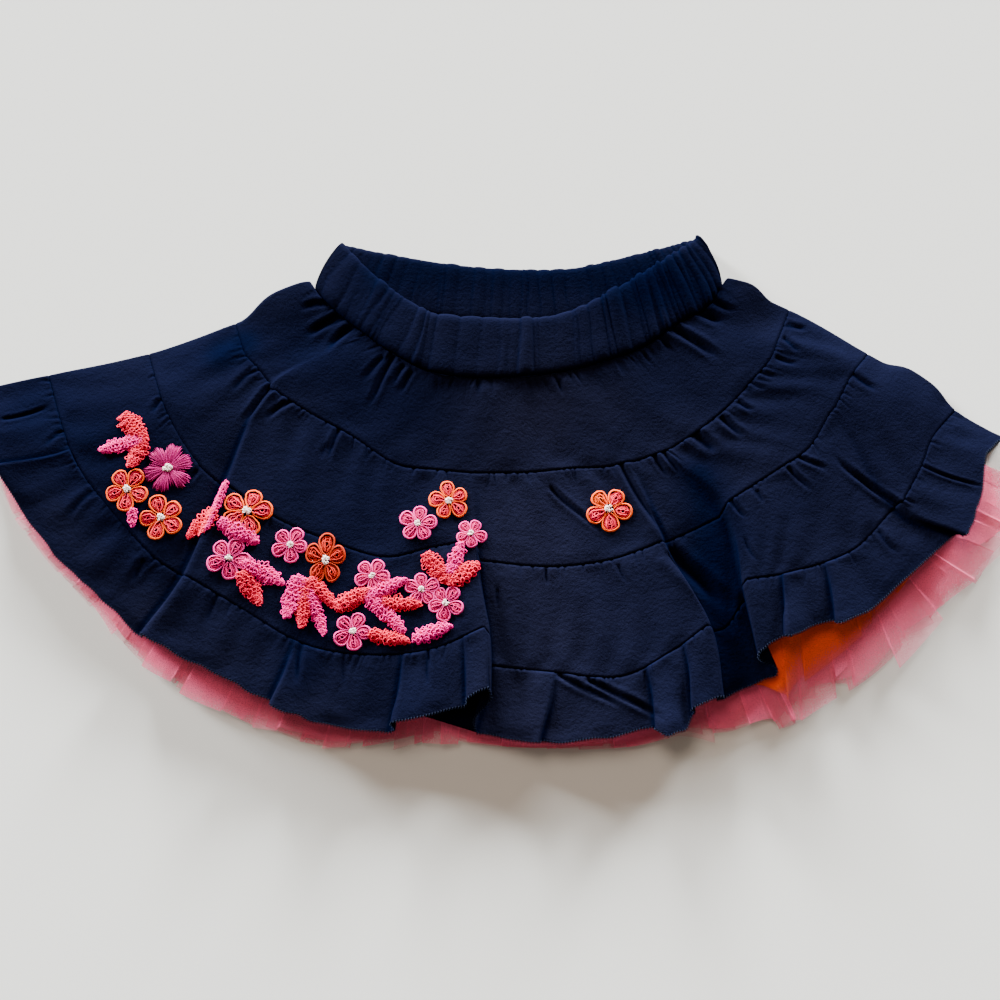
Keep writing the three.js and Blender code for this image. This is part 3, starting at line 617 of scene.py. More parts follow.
def seam_gathers(points, tier):
    """Depth and painted shade of the small gathers under a seam: troughs that fade out down the cloth.

    The way from one to the next is a power of an even chance, so most of them lie close together.
    """
    fall, along = grid_lengths(points)
    depth, dark = np.zeros(fall.shape), np.zeros(fall.shape)
    near, far, length = GATHERS[tier]
    chance = np.random.default_rng(tier)
    place = 4.0
    while place < along[-1]:
        deep, long = 0.12 + 0.6 * chance.uniform() ** 1.6, length * chance.uniform(0.4, 1.6)
        width, slant = chance.uniform(0.7, 1.1), chance.uniform(-0.3, 0.3)
        beside = np.abs(along[None, :] - place - slant * fall)
        fade = np.clip(1 - fall / long, 0, 1) ** 0.8
        depth += deep * fade * trough(beside, width)
        dark += deep * fade * np.exp(-((beside / (0.7 * width)) ** 2))
        place += near + (far - near) * chance.uniform() ** 2.2
    return depth, dark


def soft_waves(points, seed, size):
    """Broad, low rises and hollows that run down the cloth: four sines that swell and fade."""
    fall, along = grid_lengths(points)
    chance = np.random.default_rng(seed)
    waves = np.zeros(fall.shape)
    for length in (17.0, 26.0, 41.0, 63.0):
        lean, start = chance.uniform(-0.5, 0.5), chance.uniform(0, 6.28)
        swell = 0.6 + 0.4 * np.sin(fall / chance.uniform(14, 30) + start)
        waves += swell * np.sin(2 * np.pi * (along[None, :] + lean * fall) / length + start)
    return size * waves / 4


def closer_rows(count):
    """Shares from one seam to the next, less a sine: three times closer at the seams than midway."""
    share = np.linspace(0.001, 0.999, count)
    return share - 0.5 * np.sin(2 * np.pi * share) / (2 * np.pi)


def sewn_cloth(points, tier, hem):
    """A tier with its creases, gathers and sunken seams, and the painted shade at each point.

    All three are depths along the cloth's normal, less the waves, and the seams are bell curves.
    """
    fall, _ = grid_lengths(points)
    left = fall[-1] - fall
    placed, placed_dark = placed_creases(points, tier)
    small, small_dark = seam_gathers(points, tier)
    seams = np.exp(-((fall / SEAM_HALF) ** 2))
    if not hem:
        seams = seams + np.exp(-((left / SEAM_HALF) ** 2))
    normal = grid_normals(points)
    upper = smooth((normal[..., 2] - 0.45) / 0.4)
    inner = smooth(fall / 8) * smooth(left / 8)
    depth = placed + small - soft_waves(points, 20 + tier, SWELL) * inner
    points = points - normal * ((depth * upper + SEAM_DEPTH * seams)[..., None])
    # Painted shade in creases, gathers and seams, and on faces that turn steeply down into a fold.
    steep_shade = 0.85 * smooth((0.8 - normal[..., 2]) / 0.5)
    return points, np.clip((placed_dark + small_dark) * upper + 0.55 * seams + steep_shade, 0, 1)


def puffed(points, tier):
    """Pushes the cloth out where it balloons past its even outline, by a flat-topped bell curve."""
    fall, _ = grid_lengths(points)
    moved = points.copy()
    for number, middle, reach, shift, lift in PUFFS:
        if number == tier:
            away = np.linalg.norm(points[..., :2] - np.array(middle, float), axis=-1)
            grown = np.exp(-((away / reach) ** 4)) * smooth(fall / 3)
            moved += grown[..., None] * np.array([*shift, lift])
    return moved


def uneven_edge(points, reach, seed):
    """Lets the lower edge run a little long and short in a slow, uneven wave."""
    _, along = grid_lengths(points)
    chance = np.random.default_rng(seed)
    knots = chance.uniform(-1, 1, int(along[-1] / 7) + 3)
    drift = curve_weights(knots.size, along / 7) @ knots
    way = points[-1] - points[-6]
    way /= np.linalg.norm(way, axis=1, keepdims=True)
    low = smooth(np.linspace(-1, 1, len(points)))
    return points + reach * low[:, None, None] * (drift[:, None] * way)[None]


def painted_tone_at(points):
    """Painted shade and light at each point: the tone of each line in the table, fading around it."""
    tone = np.ones(points.shape[:-1])
    for start, end, reach, change, below in SHADE_AND_LIGHT_PATCHES:
        offset = points[..., :2] - np.array(start, float)
        run = np.array(end, float) - np.array(start, float)
        share = np.clip(offset @ run / (run @ run), 0, 1)
        away = np.linalg.norm(offset - share[..., None] * run, axis=-1)
        under = smooth((below - points[..., 2]) / 1.5)
        tone *= 1 + (change - 1) * np.exp(-((away / reach) ** 2)) * under
    return tone


crepe = crepe_material()
TIER_NAMES = ["tier_1_front", "tier_2_front", "tier_3_front", "hem_ruffle_front"]
front_tops = []
for number, name in enumerate(TIER_NAMES, 1):
    hem = number == 4
    down = number - 1 + closer_rows(RUFFLE_ROWS if hem else TIER_ROWS)
    cloth, folds = tier_grid(number, down, COLUMN_PITCH)
    if number == 1:
        fall, _ = grid_lengths(cloth)
        share = smooth(fall / 10) * smooth((fall[-1] - fall) / 16)
        cloth[..., 2] += share * (evened(cloth[..., 2], EVEN_COLUMNS) - cloth[..., 2])
    shade = fold_shade(cloth, folds)
    cloth = puffed(cloth, number)
    if hem:
        cloth = uneven_edge(cloth, HEM_DRIFT, 11)
    cloth, dark = sewn_cloth(cloth, number, hem)
    front_tops.append(cloth)
    # Painted shade of creases, seams and folds, and painted shade and light from the tone patches.
    masks = {"crease_shade_and_pleat_edge": np.maximum(dark, shade), "painted_tone": painted_tone_at(cloth)}
    tier = make_mesh(name + "_cloth", cloth, grid_quads(*cloth.shape[:2]), masks)
    thicken(tier, CREPE_WALL)
    wear(tier, crepe, "crepe", name)

# The deepest pleat of the hem ruffle
# The ruffle's own crepe runs on from the centre panel under the flowered one before it folds back,
# and shows as a pocket in the hem, darkened by painted shade. Only the seam above holds it.
INNER_TOP = 3.15  # where it begins, in tiers from the waist
INNER_REACH = 46.0
INNER_DROP = 3.4  # how far its lower edge lies under the panel that covers it


def inner_pleat():
    """Grid from the centre panel's side edge, under the flowered panel, that widens down the ruffle.

    It goes level from that edge, by its reach times a share that grows from 0.35 to 1 at the hem.
    """
    down = np.linspace(INNER_TOP, 4.0, 16)
    edge = panel_points(2, np.array([0.0]), down)[:, 0]
    cover = panel_points(1, 1 - np.linspace(0, 1, 40) * 0.42, down)
    share = np.linspace(0, 1, 40)[None, :, None]
    wide = ((down - INNER_TOP) / (4.0 - INNER_TOP))[:, None, None]
    way = np.array([-INNER_REACH, 0.24 * INNER_REACH]) * (0.35 + 0.65 * wide)
    across = edge[:, None, :2] + (way + np.array([0.0, 3.0]) * wide) * share
    height = np.minimum(edge[:, None, 2] - 0.8, cover[..., 2] - INNER_DROP).clip(6.0)
    return np.dstack([across, height - 0.6 * share[..., 0]])


pleat = inner_pleat()
# Painted shade: the pocket's crepe is darkened evenly, as shade under the panel that covers it.
masks = {"crease_shade_and_pleat_edge": np.full(pleat.shape[:2], 0.5), "painted_tone": np.full(pleat.shape[:2], 0.3)}
inner = make_mesh("hem_inner_pleat_cloth", pleat, grid_quads(*pleat.shape[:2]), masks)
thicken(inner, CREPE_WALL)
wear(inner, crepe, "crepe")

# The hem's overlock
# A slate-blue sewing thread, a little lighter than the crepe, that winds round the raw edge of the
# ruffle and keeps it from fraying.
OVERLOCK_PITCH = 1.7
OVERLOCK_RADIUS = 0.6
OVERLOCK_STEPS = 7  # points in each turn
THREAD = 0.22


def tube_parts(path, thick, sides=4):
    """Points and quads of a thread along a path, drawn to a point at its ends."""
    run = np.gradient(path, axis=0)
    run /= np.linalg.norm(run, axis=1, keepdims=True)
    side = np.cross(run, np.array([0.03, 0.02, 1.0]))
    side /= np.linalg.norm(side, axis=1, keepdims=True)
    over = np.cross(side, run)
    radius = np.full(len(path), thick)
    radius[[0, -1]] *= 0.1
    angle = 2 * np.pi * np.arange(sides) / sides
    ring = np.cos(angle)[None, :, None] * side[:, None] + np.sin(angle)[None, :, None] * over[:, None]
    points = (path[:, None] + radius[:, None, None] * ring).reshape(-1, 3)
    corner = np.arange(len(points)).reshape(len(path), sides)
    corner = np.hstack([corner, corner[:, :1]])
    quads = np.stack([corner[:-1, :-1], corner[1:, :-1], corner[1:, 1:], corner[:-1, 1:]], -1)
    return points, quads.reshape(-1, 4)


def overlock(name, edge):
    """A thread wound round the hem's edge, whose points run along it: a flat helix about that line."""
    step = np.linalg.norm(np.diff(edge, axis=0), axis=1)
    along = np.concatenate([[0], step.cumsum()])
    spots = np.linspace(0, along[-1], int(along[-1] / OVERLOCK_PITCH * OVERLOCK_STEPS))
    middle = np.stack([np.interp(spots, along, edge[:, k]) for k in range(3)], 1)
    run = np.gradient(middle, axis=0)
    out = np.cross(run, np.array([0.02, 0.01, 1.0]))
    out /= np.linalg.norm(out, axis=1, keepdims=True)
    up = np.cross(out, run)
    up /= np.linalg.norm(up, axis=1, keepdims=True)
    turn = 2 * np.pi * spots / OVERLOCK_PITCH
    wide, high = 1.2 * np.cos(turn)[:, None] * out, 0.7 * np.sin(turn)[:, None] * up
    wound = middle + OVERLOCK_RADIUS * (wide + high)
    points, quads = tube_parts(wound, THREAD, 3)
    return make_mesh(name, points, quads)


def overlock_material():
    """Slate-blue sewing thread."""
    thread, _, shader = new_material("overlock_thread", 0.7, 0.08)
    shader.inputs["Base Color"].default_value = (0.006, 0.010, 0.026, 1)
    return thread


hem_thread = overlock_material()
wear(overlock("hem_overlock_front", front_tops[3][-1]), hem_thread, "crepe")

# The waistband
# A wide elastic in a casing of the same crepe, drawn up into long uneven gathers and sewn to tier 1.
# Its front half rises in the middle, where the waist gapes, and its back half lies on the table.
CASING = 3.4
BAND_DEPTH = 36  # from foot to top edge
BAND_PITCH = 0.9
BACK_BAND = [
    # The back waistband, as the front one
    (0.00, (-115, 132), (-99, 166)), (0.15, (-78, 124), (-68, 159)), (0.35, (-28, 115), (-26, 152)),
    (0.50, (11, 112), (12, 149)), (0.65, (48, 114), (46, 150)), (0.85, (98, 123), (88, 160)),
    (1.00, (138, 134), (125, 170)),
]
BACK_BAND_RISE = 1.7
BAND_AROUND = 28  # points round the band, over both its faces


def band_folds(length, ups, near, far, deep, seed):
    """Height and painted shade of the gathers: rounded ridges between sharp valleys that wander.

    A ridge is a root of a sine between two valleys, and a valley a bell curve of painted shade. They
    lie closer towards the right end, and lean outwards at both.
    """
    chance = np.random.default_rng(seed)
    valleys = [-6.0]
    while valleys[-1] < length + 8:
        closer = 1 - 0.65 * np.clip(valleys[-1] / length, 0, 1) ** 2
        valleys.append(valleys[-1] + near + (far - near) * closer * chance.uniform() ** 1.5)
    valleys = np.array(valleys)
    wander = chance.uniform(-1.1, 1.1, (2, valleys.size)) * near / 3
    turn = chance.uniform(0, 6.28, valleys.size)
    reached = np.clip(valleys / length, 0, 1)
    strong = chance.uniform(0.15, 1.0, valleys.size) * (0.7 + 0.9 * reached**2)
    lean = 5.0 * (1 - reached) ** 3 - 8.0 * reached**3
    along = np.arange(0, length + BAND_PITCH, BAND_PITCH)
    height = np.zeros((ups.size, along.size))
    dark = np.zeros(height.shape)
    for row, up in enumerate(ups):
        here = valleys + lean * (up - 0.4)
        here = here + wander[0] * (2 * up - 1) + wander[1] * np.sin(2 * np.pi * up + turn)
        fold = np.clip(np.searchsorted(here, along) - 1, 0, valleys.size - 2)
        share = np.clip((along - here[fold]) / (here[fold + 1] - here[fold]), 0, 1)
        wide = np.clip((here[fold + 1] - here[fold]) / far, 0.3, 1)
        swell = 0.75 + 0.25 * np.sin(3.0 * up + turn[fold])
        height[row] = deep * strong[fold] * swell * wide**0.5 * np.sin(np.pi * share) ** 0.55
        beside = np.minimum(along - here[fold], here[fold + 1] - along)
        depth = np.where(share < 0.5, strong[fold], strong[np.minimum(fold + 1, valleys.size - 1)])
        dark[row] = depth * swell * np.exp(-((beside / 0.75) ** 2))
    return height, dark


def band_sheet(name, rows, middle, deep, near, far, seed):
    """A closed band: out along its upper face from foot to top edge, and back along its plain one.

    Its two faces stand apart as the eighth root of an ellipse, and its ends curve out as a sine.
    """
    ups = np.array([0.0, 0.02, 0.06, 0.12, 0.2, 0.3, 0.4, 0.5, 0.6, 0.7, 0.8, 0.88, 0.94, 0.98, 1.0])
    share = np.linspace(0, 1, 400)
    foot = band_curve(rows, 1, share)
    along = np.concatenate([[0], np.linalg.norm(np.diff(foot, axis=0), axis=1).cumsum()])
    height, dark = band_folds(along[-1], ups, near, far, deep, seed)
    place = np.interp(np.arange(height.shape[1]) * BAND_PITCH, along, share)
    foot, top = band_curve(rows, 1, place), band_curve(rows, 2, place)
    ragged = 1 + np.clip((height[-1] - height[-1].mean()) / 30, -0.04, 0.04)
    round_edge = np.clip(1 - (2 * ups - 1) ** 8, 0, 1) ** 0.5
    plan = foot[None] + (top - foot)[None] * (ups[:, None] * ragged[None, :])[..., None]
    ends = np.exp(-((place * along[-1] / 12) ** 2)) - np.exp(-(((1 - place) * along[-1] / 12) ** 2))
    plan[..., 0] -= 3.2 * np.sin(np.pi * ups)[:, None] ** 0.7 * ends[None, :]
    level = middle(place)[None, :]
    face = level + (CASING / 2 * round_edge)[:, None] + height * (0.25 + 0.75 * round_edge)[:, None]
    back = level - (CASING / 2 * round_edge)[:, None] + np.zeros(height.shape)
    upper = np.dstack([plan, face])
    lower = np.dstack([plan, back])
    around = np.concatenate([upper[::-1], lower[1:-1]])
    # Painted shade in the gathers' valleys and along the foot seam, a darker line near the top edge,
    # half the valleys' shade on the plain face, and painted shade and light from the tone patches.
    seam = np.exp(-((ups * BAND_DEPTH / 1.4) ** 2))[:, None]
    stitch = 0.35 * np.exp(-(((ups - 0.9) * BAND_DEPTH / 0.8) ** 2))[:, None]
    shades = np.clip(dark + seam + stitch, 0, 1)
    masks = {"crease_shade_and_pleat_edge": np.concatenate([shades[::-1], dark[1:-1] * 0.5]), "painted_tone": painted_tone_at(around)}
    return make_mesh(name, around, grid_quads(*around.shape[:2], wrap=True), masks)


def closed_ends(piece, around):
    """Closes a tube of rings at both ends."""
    mesh = bmesh.new()
    mesh.from_mesh(piece.data)
    mesh.verts.ensure_lookup_table()
    count = len(mesh.verts) // around
    for column, order in ((0, 1), (count - 1, -1)):
        mesh.faces.new([mesh.verts[row * count + column] for row in range(around)][::order])
    mesh.to_mesh(piece.data)
    mesh.free()


def back_band_height(share):
    """Height of the back band's middle, which lies level."""
    return BACK_BAND_RISE + 0 * share


front_band = band_sheet("waistband_front_cloth", FRONT_BAND, band_height,
                        deep=2.8, near=2.6, far=17.0, seed=5)
closed_ends(front_band, BAND_AROUND)
wear(front_band, crepe, "waistband", "waistband_front")
back_band = band_sheet("waistband_back_cloth", BACK_BAND, back_band_height,
                       deep=1.0, near=3.0, far=11.0, seed=9)
closed_ends(back_band, BAND_AROUND)
wear(back_band, crepe, "waistband", "waistband_back")

# The back of the skirt
# The same four strips of crepe, gathered and sewn in the same way. The back lies flat on the table
# under the net, so its gathers are low and its underside is plain.
BACK_HEIGHT = 0.3
BACK_ROWS, BACK_COLUMNS = 14, 210
BACK_SWELL = 0.7


def back_grid(tier, down, count):
    """One tier of the back: lines that fan evenly from the back waistband between the side seams."""
    place = np.linspace(0, 1, count)
    first, last = LINES[0], LINES[-1]
    plan = band_curve(BACK_BAND, 1, place)[None] + np.zeros((down.size, 1, 1))
    for number in range(tier):
        lean = np.radians(first[2][number] + (last[2][number] - first[2][number]) * place)
        depth = first[3][number] + (last[3][number] - first[3][number]) * place
        part = (down - number).clip(0, 1)[:, None]
        way = np.stack([np.sin(lean), -np.cos(lean)], 1) * depth[:, None]
        plan = plan + part[..., None] * way[None]
    return np.dstack([plan, np.full(plan.shape[:2], BACK_HEIGHT)])


BACK_NAMES = ["tier_1_back", "tier_2_back", "tier_3_back", "hem_ruffle_back"]
for number, name in enumerate(BACK_NAMES, 1):
    down = number - 1 + np.linspace(0.001, 0.999, BACK_ROWS)
    flat = back_grid(number, down, BACK_COLUMNS)
    depth, dark = seam_gathers(flat, number)
    waves = soft_waves(flat, 40 + number, BACK_SWELL)
    flat[..., 2] += np.clip(waves, 0, 1) + np.clip(depth, 0, 0.8) * 0.6
    # Painted shade in the small gathers; the back has an even painted tone.
    masks = {"crease_shade_and_pleat_edge": np.clip(dark, 0, 1), "painted_tone": np.ones(dark.shape)}
    tier = make_mesh(name + "_cloth", flat, grid_quads(*flat.shape[:2]), masks)
    thicken(tier, CREPE_WALL)
    wear(tier, crepe, "crepe", name)
    if number == 4:
        wear(overlock("hem_overlock_back", flat[-1]), hem_thread, "crepe")

# The net of the underskirt
# Layers of soft, see-through tulle, pink ones and a few of orange, sewn in under tier 1. They lie in
# flat pleats between front and back, fan out past the hem and end in square-cut corners.
ORANGE_LINES = {
    # How far the orange net at the front shows past the hem, by the line's share of the waist
    0.683: -4, 0.706: 10, 0.767: 30, 0.818: 9, 0.857: -4,
}
NET_LAYERS = [
    # name, colour, solid, height inside, height at the edge, share of the reach, more reach, seed
    ("net_pink_front_1", "pink", "net_pink_front", 5.2, 3.0, 1.0, 2, 1),
    ("net_pink_front_2", "pink", "net_pink_front", 4.6, 1.8, 0.8, 2, 2),
    ("net_pink_front_3", "pink", "net_pink_front", 4.0, 1.3, 0.6, 2, 3),
    ("net_pink_front_4", "pink", "net_pink_front", 3.6, 0.8, 0.4, 2, 7),
    ("net_orange_front_1", "orange", "net_orange_front", 6.0, 4.8, 1.0, 0, 4),
    ("net_orange_back_1", "orange", "net_orange_back", 1.9, 1.9, 0.0, -18, 5),
    ("net_pink_back_1", "pink", "net_pink_back", 3.3, 0.6, 0.9, 2, 6),
]
NARROW, WIDE = 7.0, 34.0  # narrowest and widest pleat


def net_layer(colour, inside, outside, share, more, seed):
    """Points of a layer of net with the density of each, pleat by pleat.

    The layer is a smooth surface through lines down the cloth. Each pleat tilts it in proportion to
    the way across, to the left and right in turn, and ends at its own length.
    """
    lines = [line for line in LINES if line[5] is not None]
    reach = [line[5] for line in lines]
    if colour == "orange" and share > 0:
        lines = [line for line in lines if line[1] in ORANGE_LINES]
        reach = [ORANGE_LINES[line[1]] for line in lines]
    elif colour == "orange":
        lines, reach = lines[1:-1], reach[1:-1]
    paths = []
    for line, far in zip(lines, reach):
        points = line_points(line)
        fall = points[4, :2] - points[3, :2]
        fall /= np.linalg.norm(fall)
        hem = points[4, :2]
        paths.append([points[1, :2] + 6 * fall, points[2, :2], points[3, :2], hem - 10 * fall, hem,
                      hem + (far * share + more) * fall])
    paths = np.array(paths)
    chance = np.random.default_rng(seed)
    fine = np.linspace(0, len(lines) - 1, 1600)
    edge = np.einsum("cl,lx->cx", curve_weights(len(lines), fine), paths[:, 4])
    along = np.concatenate([[0], np.linalg.norm(np.diff(edge, axis=0), axis=1).cumsum()])
    cuts = [0.0]
    while cuts[-1] < along[-1]:
        cuts.append(cuts[-1] + NARROW + (WIDE - NARROW) * chance.uniform() ** 1.3)
    cuts = np.array(cuts)
    between = cuts[1:-1]
    spots = np.unique(np.concatenate([np.arange(0, along[-1], 1.5), between - 0.15, between + 0.15]))
    spots = spots[(spots > 0) & (spots < along[-1])]
    pleat = np.clip(np.searchsorted(cuts, spots) - 1, 0, cuts.size - 2)
    across = (spots - cuts[pleat]) / (cuts[pleat + 1] - cuts[pleat])
    place = np.interp(spots, along, fine)
    rail = np.einsum("cl,lkx->kcx", curve_weights(len(lines), place), paths)
    downs = np.array([0, 1, 2, 3, 3.5, 4, 4.2, 4.4, 4.6, 4.8, 5.0])
    grid = np.einsum("rk,kcx->rcx", curve_weights(6, downs), rail)
    out = np.clip(downs - 4, 0, 1)
    shortest = 0.66 if colour == "pink" else 0.88
    longer = chance.uniform(shortest, 1.12, cuts.size)[pleat]
    slant = chance.uniform(-0.12, 0.12, cuts.size)[pleat]
    longer = longer + slant * (2 * across - 1)
    hem = grid[5]
    grid[5:] = hem[None] + (grid[5:] - hem[None]) * longer[None, :, None]
    side = np.where(pleat % 2 == 0, 1.0, -1.0)
    lift = chance.uniform(0.5, 1.3, cuts.size)[pleat]
    height = inside + (outside - inside) * smooth(downs - 3.6)[:, None] + np.zeros((1, spots.size))
    tilt = lift * side * (across - 0.5) + 0.4 * lift
    height = height + (0.2 + 1.3 * smooth(downs - 3.8))[:, None] * tilt[None, :]
    dense = chance.uniform(0.35, 1.0, cuts.size)[pleat] * (1.12 - 0.3 * across)
    dense = dense * np.interp(place / (len(lines) - 1), (0, 0.12, 0.2), (0.5, 0.6, 1))
    beside = np.minimum(across, 1 - across) * (cuts[pleat + 1] - cuts[pleat])
    crease_shade_and_pleat_edge = 0.3 * np.exp(-((beside / 0.6) ** 2))
    thin = 1.0 - 0.3 * out if colour == "pink" else 1.0 - 0.75 * out**1.5
    density = (dense + crease_shade_and_pleat_edge)[None, :] * thin[:, None]
    return np.dstack([grid, np.clip(height, 0.2, None)]), density


def effect(name, inputs, output, kind):
    """A node group for an effect, with named inputs and one output, and the nodes for both."""
    group = bpy.data.node_groups.new(name, "ShaderNodeTree")
    for socket in inputs:
        group.interface.new_socket(socket, in_out="INPUT", socket_type="NodeSocketFloat")
    group.interface.new_socket(output, in_out="OUTPUT", socket_type=kind)
    return group, group.nodes.new("NodeGroupInput"), group.nodes.new("NodeGroupOutput")


def placed_effect(tree, group, strength):
    """A node group placed in a material, with its own strength."""
    node = tree.nodes.new("ShaderNodeGroup")
    node.node_tree = group
    node.inputs["Strength"].default_value = strength
    return node


def net_threads():
    """The fine mesh of the net: how much its threads cover.

    It is the density times the strength, times a value that falls from 1.35 on a thread to 0.8 in
    the middle of a hole.
    """
    inputs = ("Density", "Strength")
    tree, given, result = effect("net_threads", inputs, "Cover", "NodeSocketFloat")
    place = tree.nodes.new("ShaderNodeTexCoord")
    mesh = tree.nodes.new("ShaderNodeTexVoronoi")
    mesh.feature = "DISTANCE_TO_EDGE"
    mesh.inputs["Scale"].default_value = 1100.0
    tree.links.new(place.outputs["Object"], mesh.inputs["Vector"])
    holes = mapped(tree, mesh.outputs["Distance"], 0.03, 0.3, 1.35, 0.8)
    cover = product(tree, given.outputs["Density"], holes)
    whole = product(tree, cover, given.outputs["Strength"], True)
    tree.links.new(whole, result.inputs["Cover"])
    return tree


def net_material(name, threads, colour, deep, strength):
    """Fine see-through net: denser where pleats double it, with a faint mesh of threads."""
    net, tree, shader = new_material(name, 0.7, 0.1)
    shader.inputs["Sheen Weight"].default_value = 0.1
    dense = mask_value(tree, "dense")
    mesh = placed_effect(tree, threads, strength)
    tree.links.new(dense, mesh.inputs["Density"])
    tree.links.new(mesh.outputs["Cover"], shader.inputs["Alpha"])
    dye = dye_and_shade_mix(tree, dense, colour, deep)
    tree.links.new(dye.outputs["Result"], shader.inputs["Base Color"])
    return net


NET_DYES = {
    # Colour where it is thin and where it is dense, and how much a dense place covers
    "pink": ((0.96, 0.19, 0.33, 1), (0.96, 0.12, 0.27, 1), 0.7),
    "orange": ((0.96, 0.12, 0.014, 1), (0.94, 0.07, 0.008, 1), 1.2),
}
threads = net_threads()
NETS = {colour: net_material(colour + "_net", threads, *dyes) for colour, dyes in NET_DYES.items()}
for name, colour, solid, inside, outside, share, more, seed in NET_LAYERS:
    points, density = net_layer(colour, inside, outside, share, more, seed)
    layer = make_mesh(name + "_cloth", points, grid_quads(*points.shape[:2]), {"dense": density})
    wear(layer, NETS[colour], colour + "_net", solid)

# The embroidery
# Flowers of corded yarn with knotted centres, and leaves of dense looped yarn. All are sewn straight
# on the front, so their threads follow the height of the cloth where they lie.
FLOWERS = [
    # number, middle, size across and up the skirt, petals, turn in degrees, kind
    (1, (-197, 17), 31, 31, 6, 15, "magenta"), (2, (-220, 4), 25, 26, 5, -18, "orange"),
    (3, (-199, -13), 27, 27, 5, 38, "orange"), (4, (-148, -10), 29, 29, 5, 0, "orange"),
    (5, (-157, -38), 24, 24, 5, -12, "pink"), (6, (-122, -30), 21, 21, 5, -14, "pink"),
    (7, (-101, -39), 23, 30, 5, 18, "amber"), (8, (-74, -48), 20, 20, 5, -10, "pink"),
    (9, (-45, -56), 20, 20, 5, 20, "pink"), (10, (-31, -64), 21, 21, 5, 50, "pink"),
    (11, (-84, -80), 22, 22, 5, -5, "pink"), (12, (-48, -17), 21, 21, 5, 10, "pink"),
    (13, (-30, -3), 23, 25, 5, 30, "orange"), (14, (-17, -23), 18, 18, 5, 60, "pink"),
    (15, (64, -8), 27, 27, 5, -12, "mixed"),
]
LEAVES = [
    # number, foot, tip, width, kind
    (1, (-228, 51), (-210, 33), 11, "coral"), (2, (-212, 34), (-220, 17), 10, "coral"),
    (3, (-213, 35), (-239, 28), 9, "pink"), (4, (-216, -7), (-215, -19), 5, "pink"),
    (5, (-166, -9), (-183, -25), 10, "coral"), (6, (-161, 9), (-171, -22), 4.5, "pink"),
    (7, (-164, -16), (-140, -29), 10, "pink"), (8, (-150, -40), (-124, -53), 9, "pink"),
    (9, (-150, -46), (-137, -65), 10, "coral"), (10, (-114, -48), (-123, -73), 12, "pink"),
    (11, (-112, -50), (-113, -79), 9, "coral"), (12, (-110, -56), (-100, -83), 7, "pink"),
    (13, (-111, -50), (-94, -66), 8, "coral"), (14, (-95, -67), (-74, -56), 9, "coral"),
    (15, (-77, -60), (-53, -50), 8, "pink"), (16, (-68, -64), (-45, -65), 8, "coral"),
    (17, (-77, -59), (-54, -81), 9, "pink"), (18, (-75, -82), (-51, -86), 8, "coral"),
    (19, (-50, -85), (-27, -77), 8, "pink"), (20, (-44, -35), (-29, -53), 9, "coral"),
    (21, (-30, -53), (-12, -41), 10, "coral"), (22, (-29, -48), (-22, -28), 8, "pink"),
]
DYES = {
    # Outline and filling
    "magenta": ((0.36, 0.0005, 0.10, 1), (0.46, 0.001, 0.16, 1)),
    "orange": ((0.84, 0.080, 0.004, 1), (0.70, 0.004, 0.055, 1)),
    "amber": ((0.42, 0.024, 0.001, 1), (0.46, 0.010, 0.004, 1)),
    "mixed": ((0.88, 0.085, 0.004, 1), (0.78, 0.004, 0.065, 1)),
    "pink": ((0.82, 0.030, 0.27, 1), (0.64, 0.003, 0.13, 1)),
    "coral": ((0.82, 0.0005, 0.055, 1), (0.66, 0.0005, 0.038, 1)),
    "rose": ((0.90, 0.0005, 0.27, 1), (0.80, 0.0005, 0.20, 1)),
}
KNOT = (0.92, 0.70, 0.66, 1)
OUTLINE_DYE, KNOT_DYE = 0.0, 2.0  # the yarn's mask, which is 1 on the filling
# Radius of each yarn
CORD, LOOP, STRAND, STITCH, KNOT_YARN, LEAF_YARN = 0.5, 0.44, 0.3, 0.42, 0.4, 0.34
LEAF_FULLNESS = 1.22  # how much wider the loops are laid, as they fall short of the outline
CELL = 2.0
MAP_EDGE = 350  # how far the height map reaches to the left and below
MAP_CELLS = (350, 250)  # across and up


def height_map():
    """The cloth's top height in square cells, each at least as high as the cloth near it."""
    rows = [row for top in front_tops for row in (top, (top[1:] + top[:-1]) / 2)]
    spots = np.concatenate([row.reshape(-1, 3) for row in rows])
    cell = np.floor((spots[:, :2] + MAP_EDGE) / CELL).astype(int)
    heights = np.zeros(MAP_CELLS)
    np.maximum.at(heights, (cell[:, 0], cell[:, 1]), spots[:, 2])
    return heights


HEIGHTS = height_map()


def on_cloth(plan, up):
    """Lays points in plan on the front of the skirt, each raised by up.

    The cloth's height there is the mean of the four nearest cells, weighed by how near they are.
    """
    place = (plan + MAP_EDGE) / CELL - 0.5
    low = np.floor(place).astype(int)
    part = place - low
    level = np.zeros(len(plan))
    for dx in (0, 1):
        for dy in (0, 1):
            weight = np.abs(1 - dx - part[:, 0]) * np.abs(1 - dy - part[:, 1])
            level += weight * HEIGHTS[low[:, 0] + dx, low[:, 1] + dy]
    return np.column_stack([plan, level + CREPE_WALL / 2 + up])


def petal(count, scale, wide):
    """Plan of a petal that points along +X: an ellipse from 0.2 to 1, drawn in towards its foot."""
    turn = np.linspace(0, 2 * np.pi, count)
    along = 0.6 - 0.4 * scale * np.cos(turn)
    across = wide * scale * np.sin(turn) * (0.78 - 0.22 * np.cos(turn))
    return np.column_stack([along, across])


def thread_mesh(name, threads):
    """One mesh from many threads, each a path, its radius and its dye."""
    points, quads, dyes, count = [], [], [], 0
    for path, thick, dye in threads:
        spots, faces = tube_parts(path, thick)
        points.append(spots)
        quads.append(faces + count)
        dyes.append(np.full(len(spots), float(dye)))
        count += len(spots)
    return make_mesh(name, np.concatenate(points), np.concatenate(quads), {"dye": np.concatenate(dyes)})


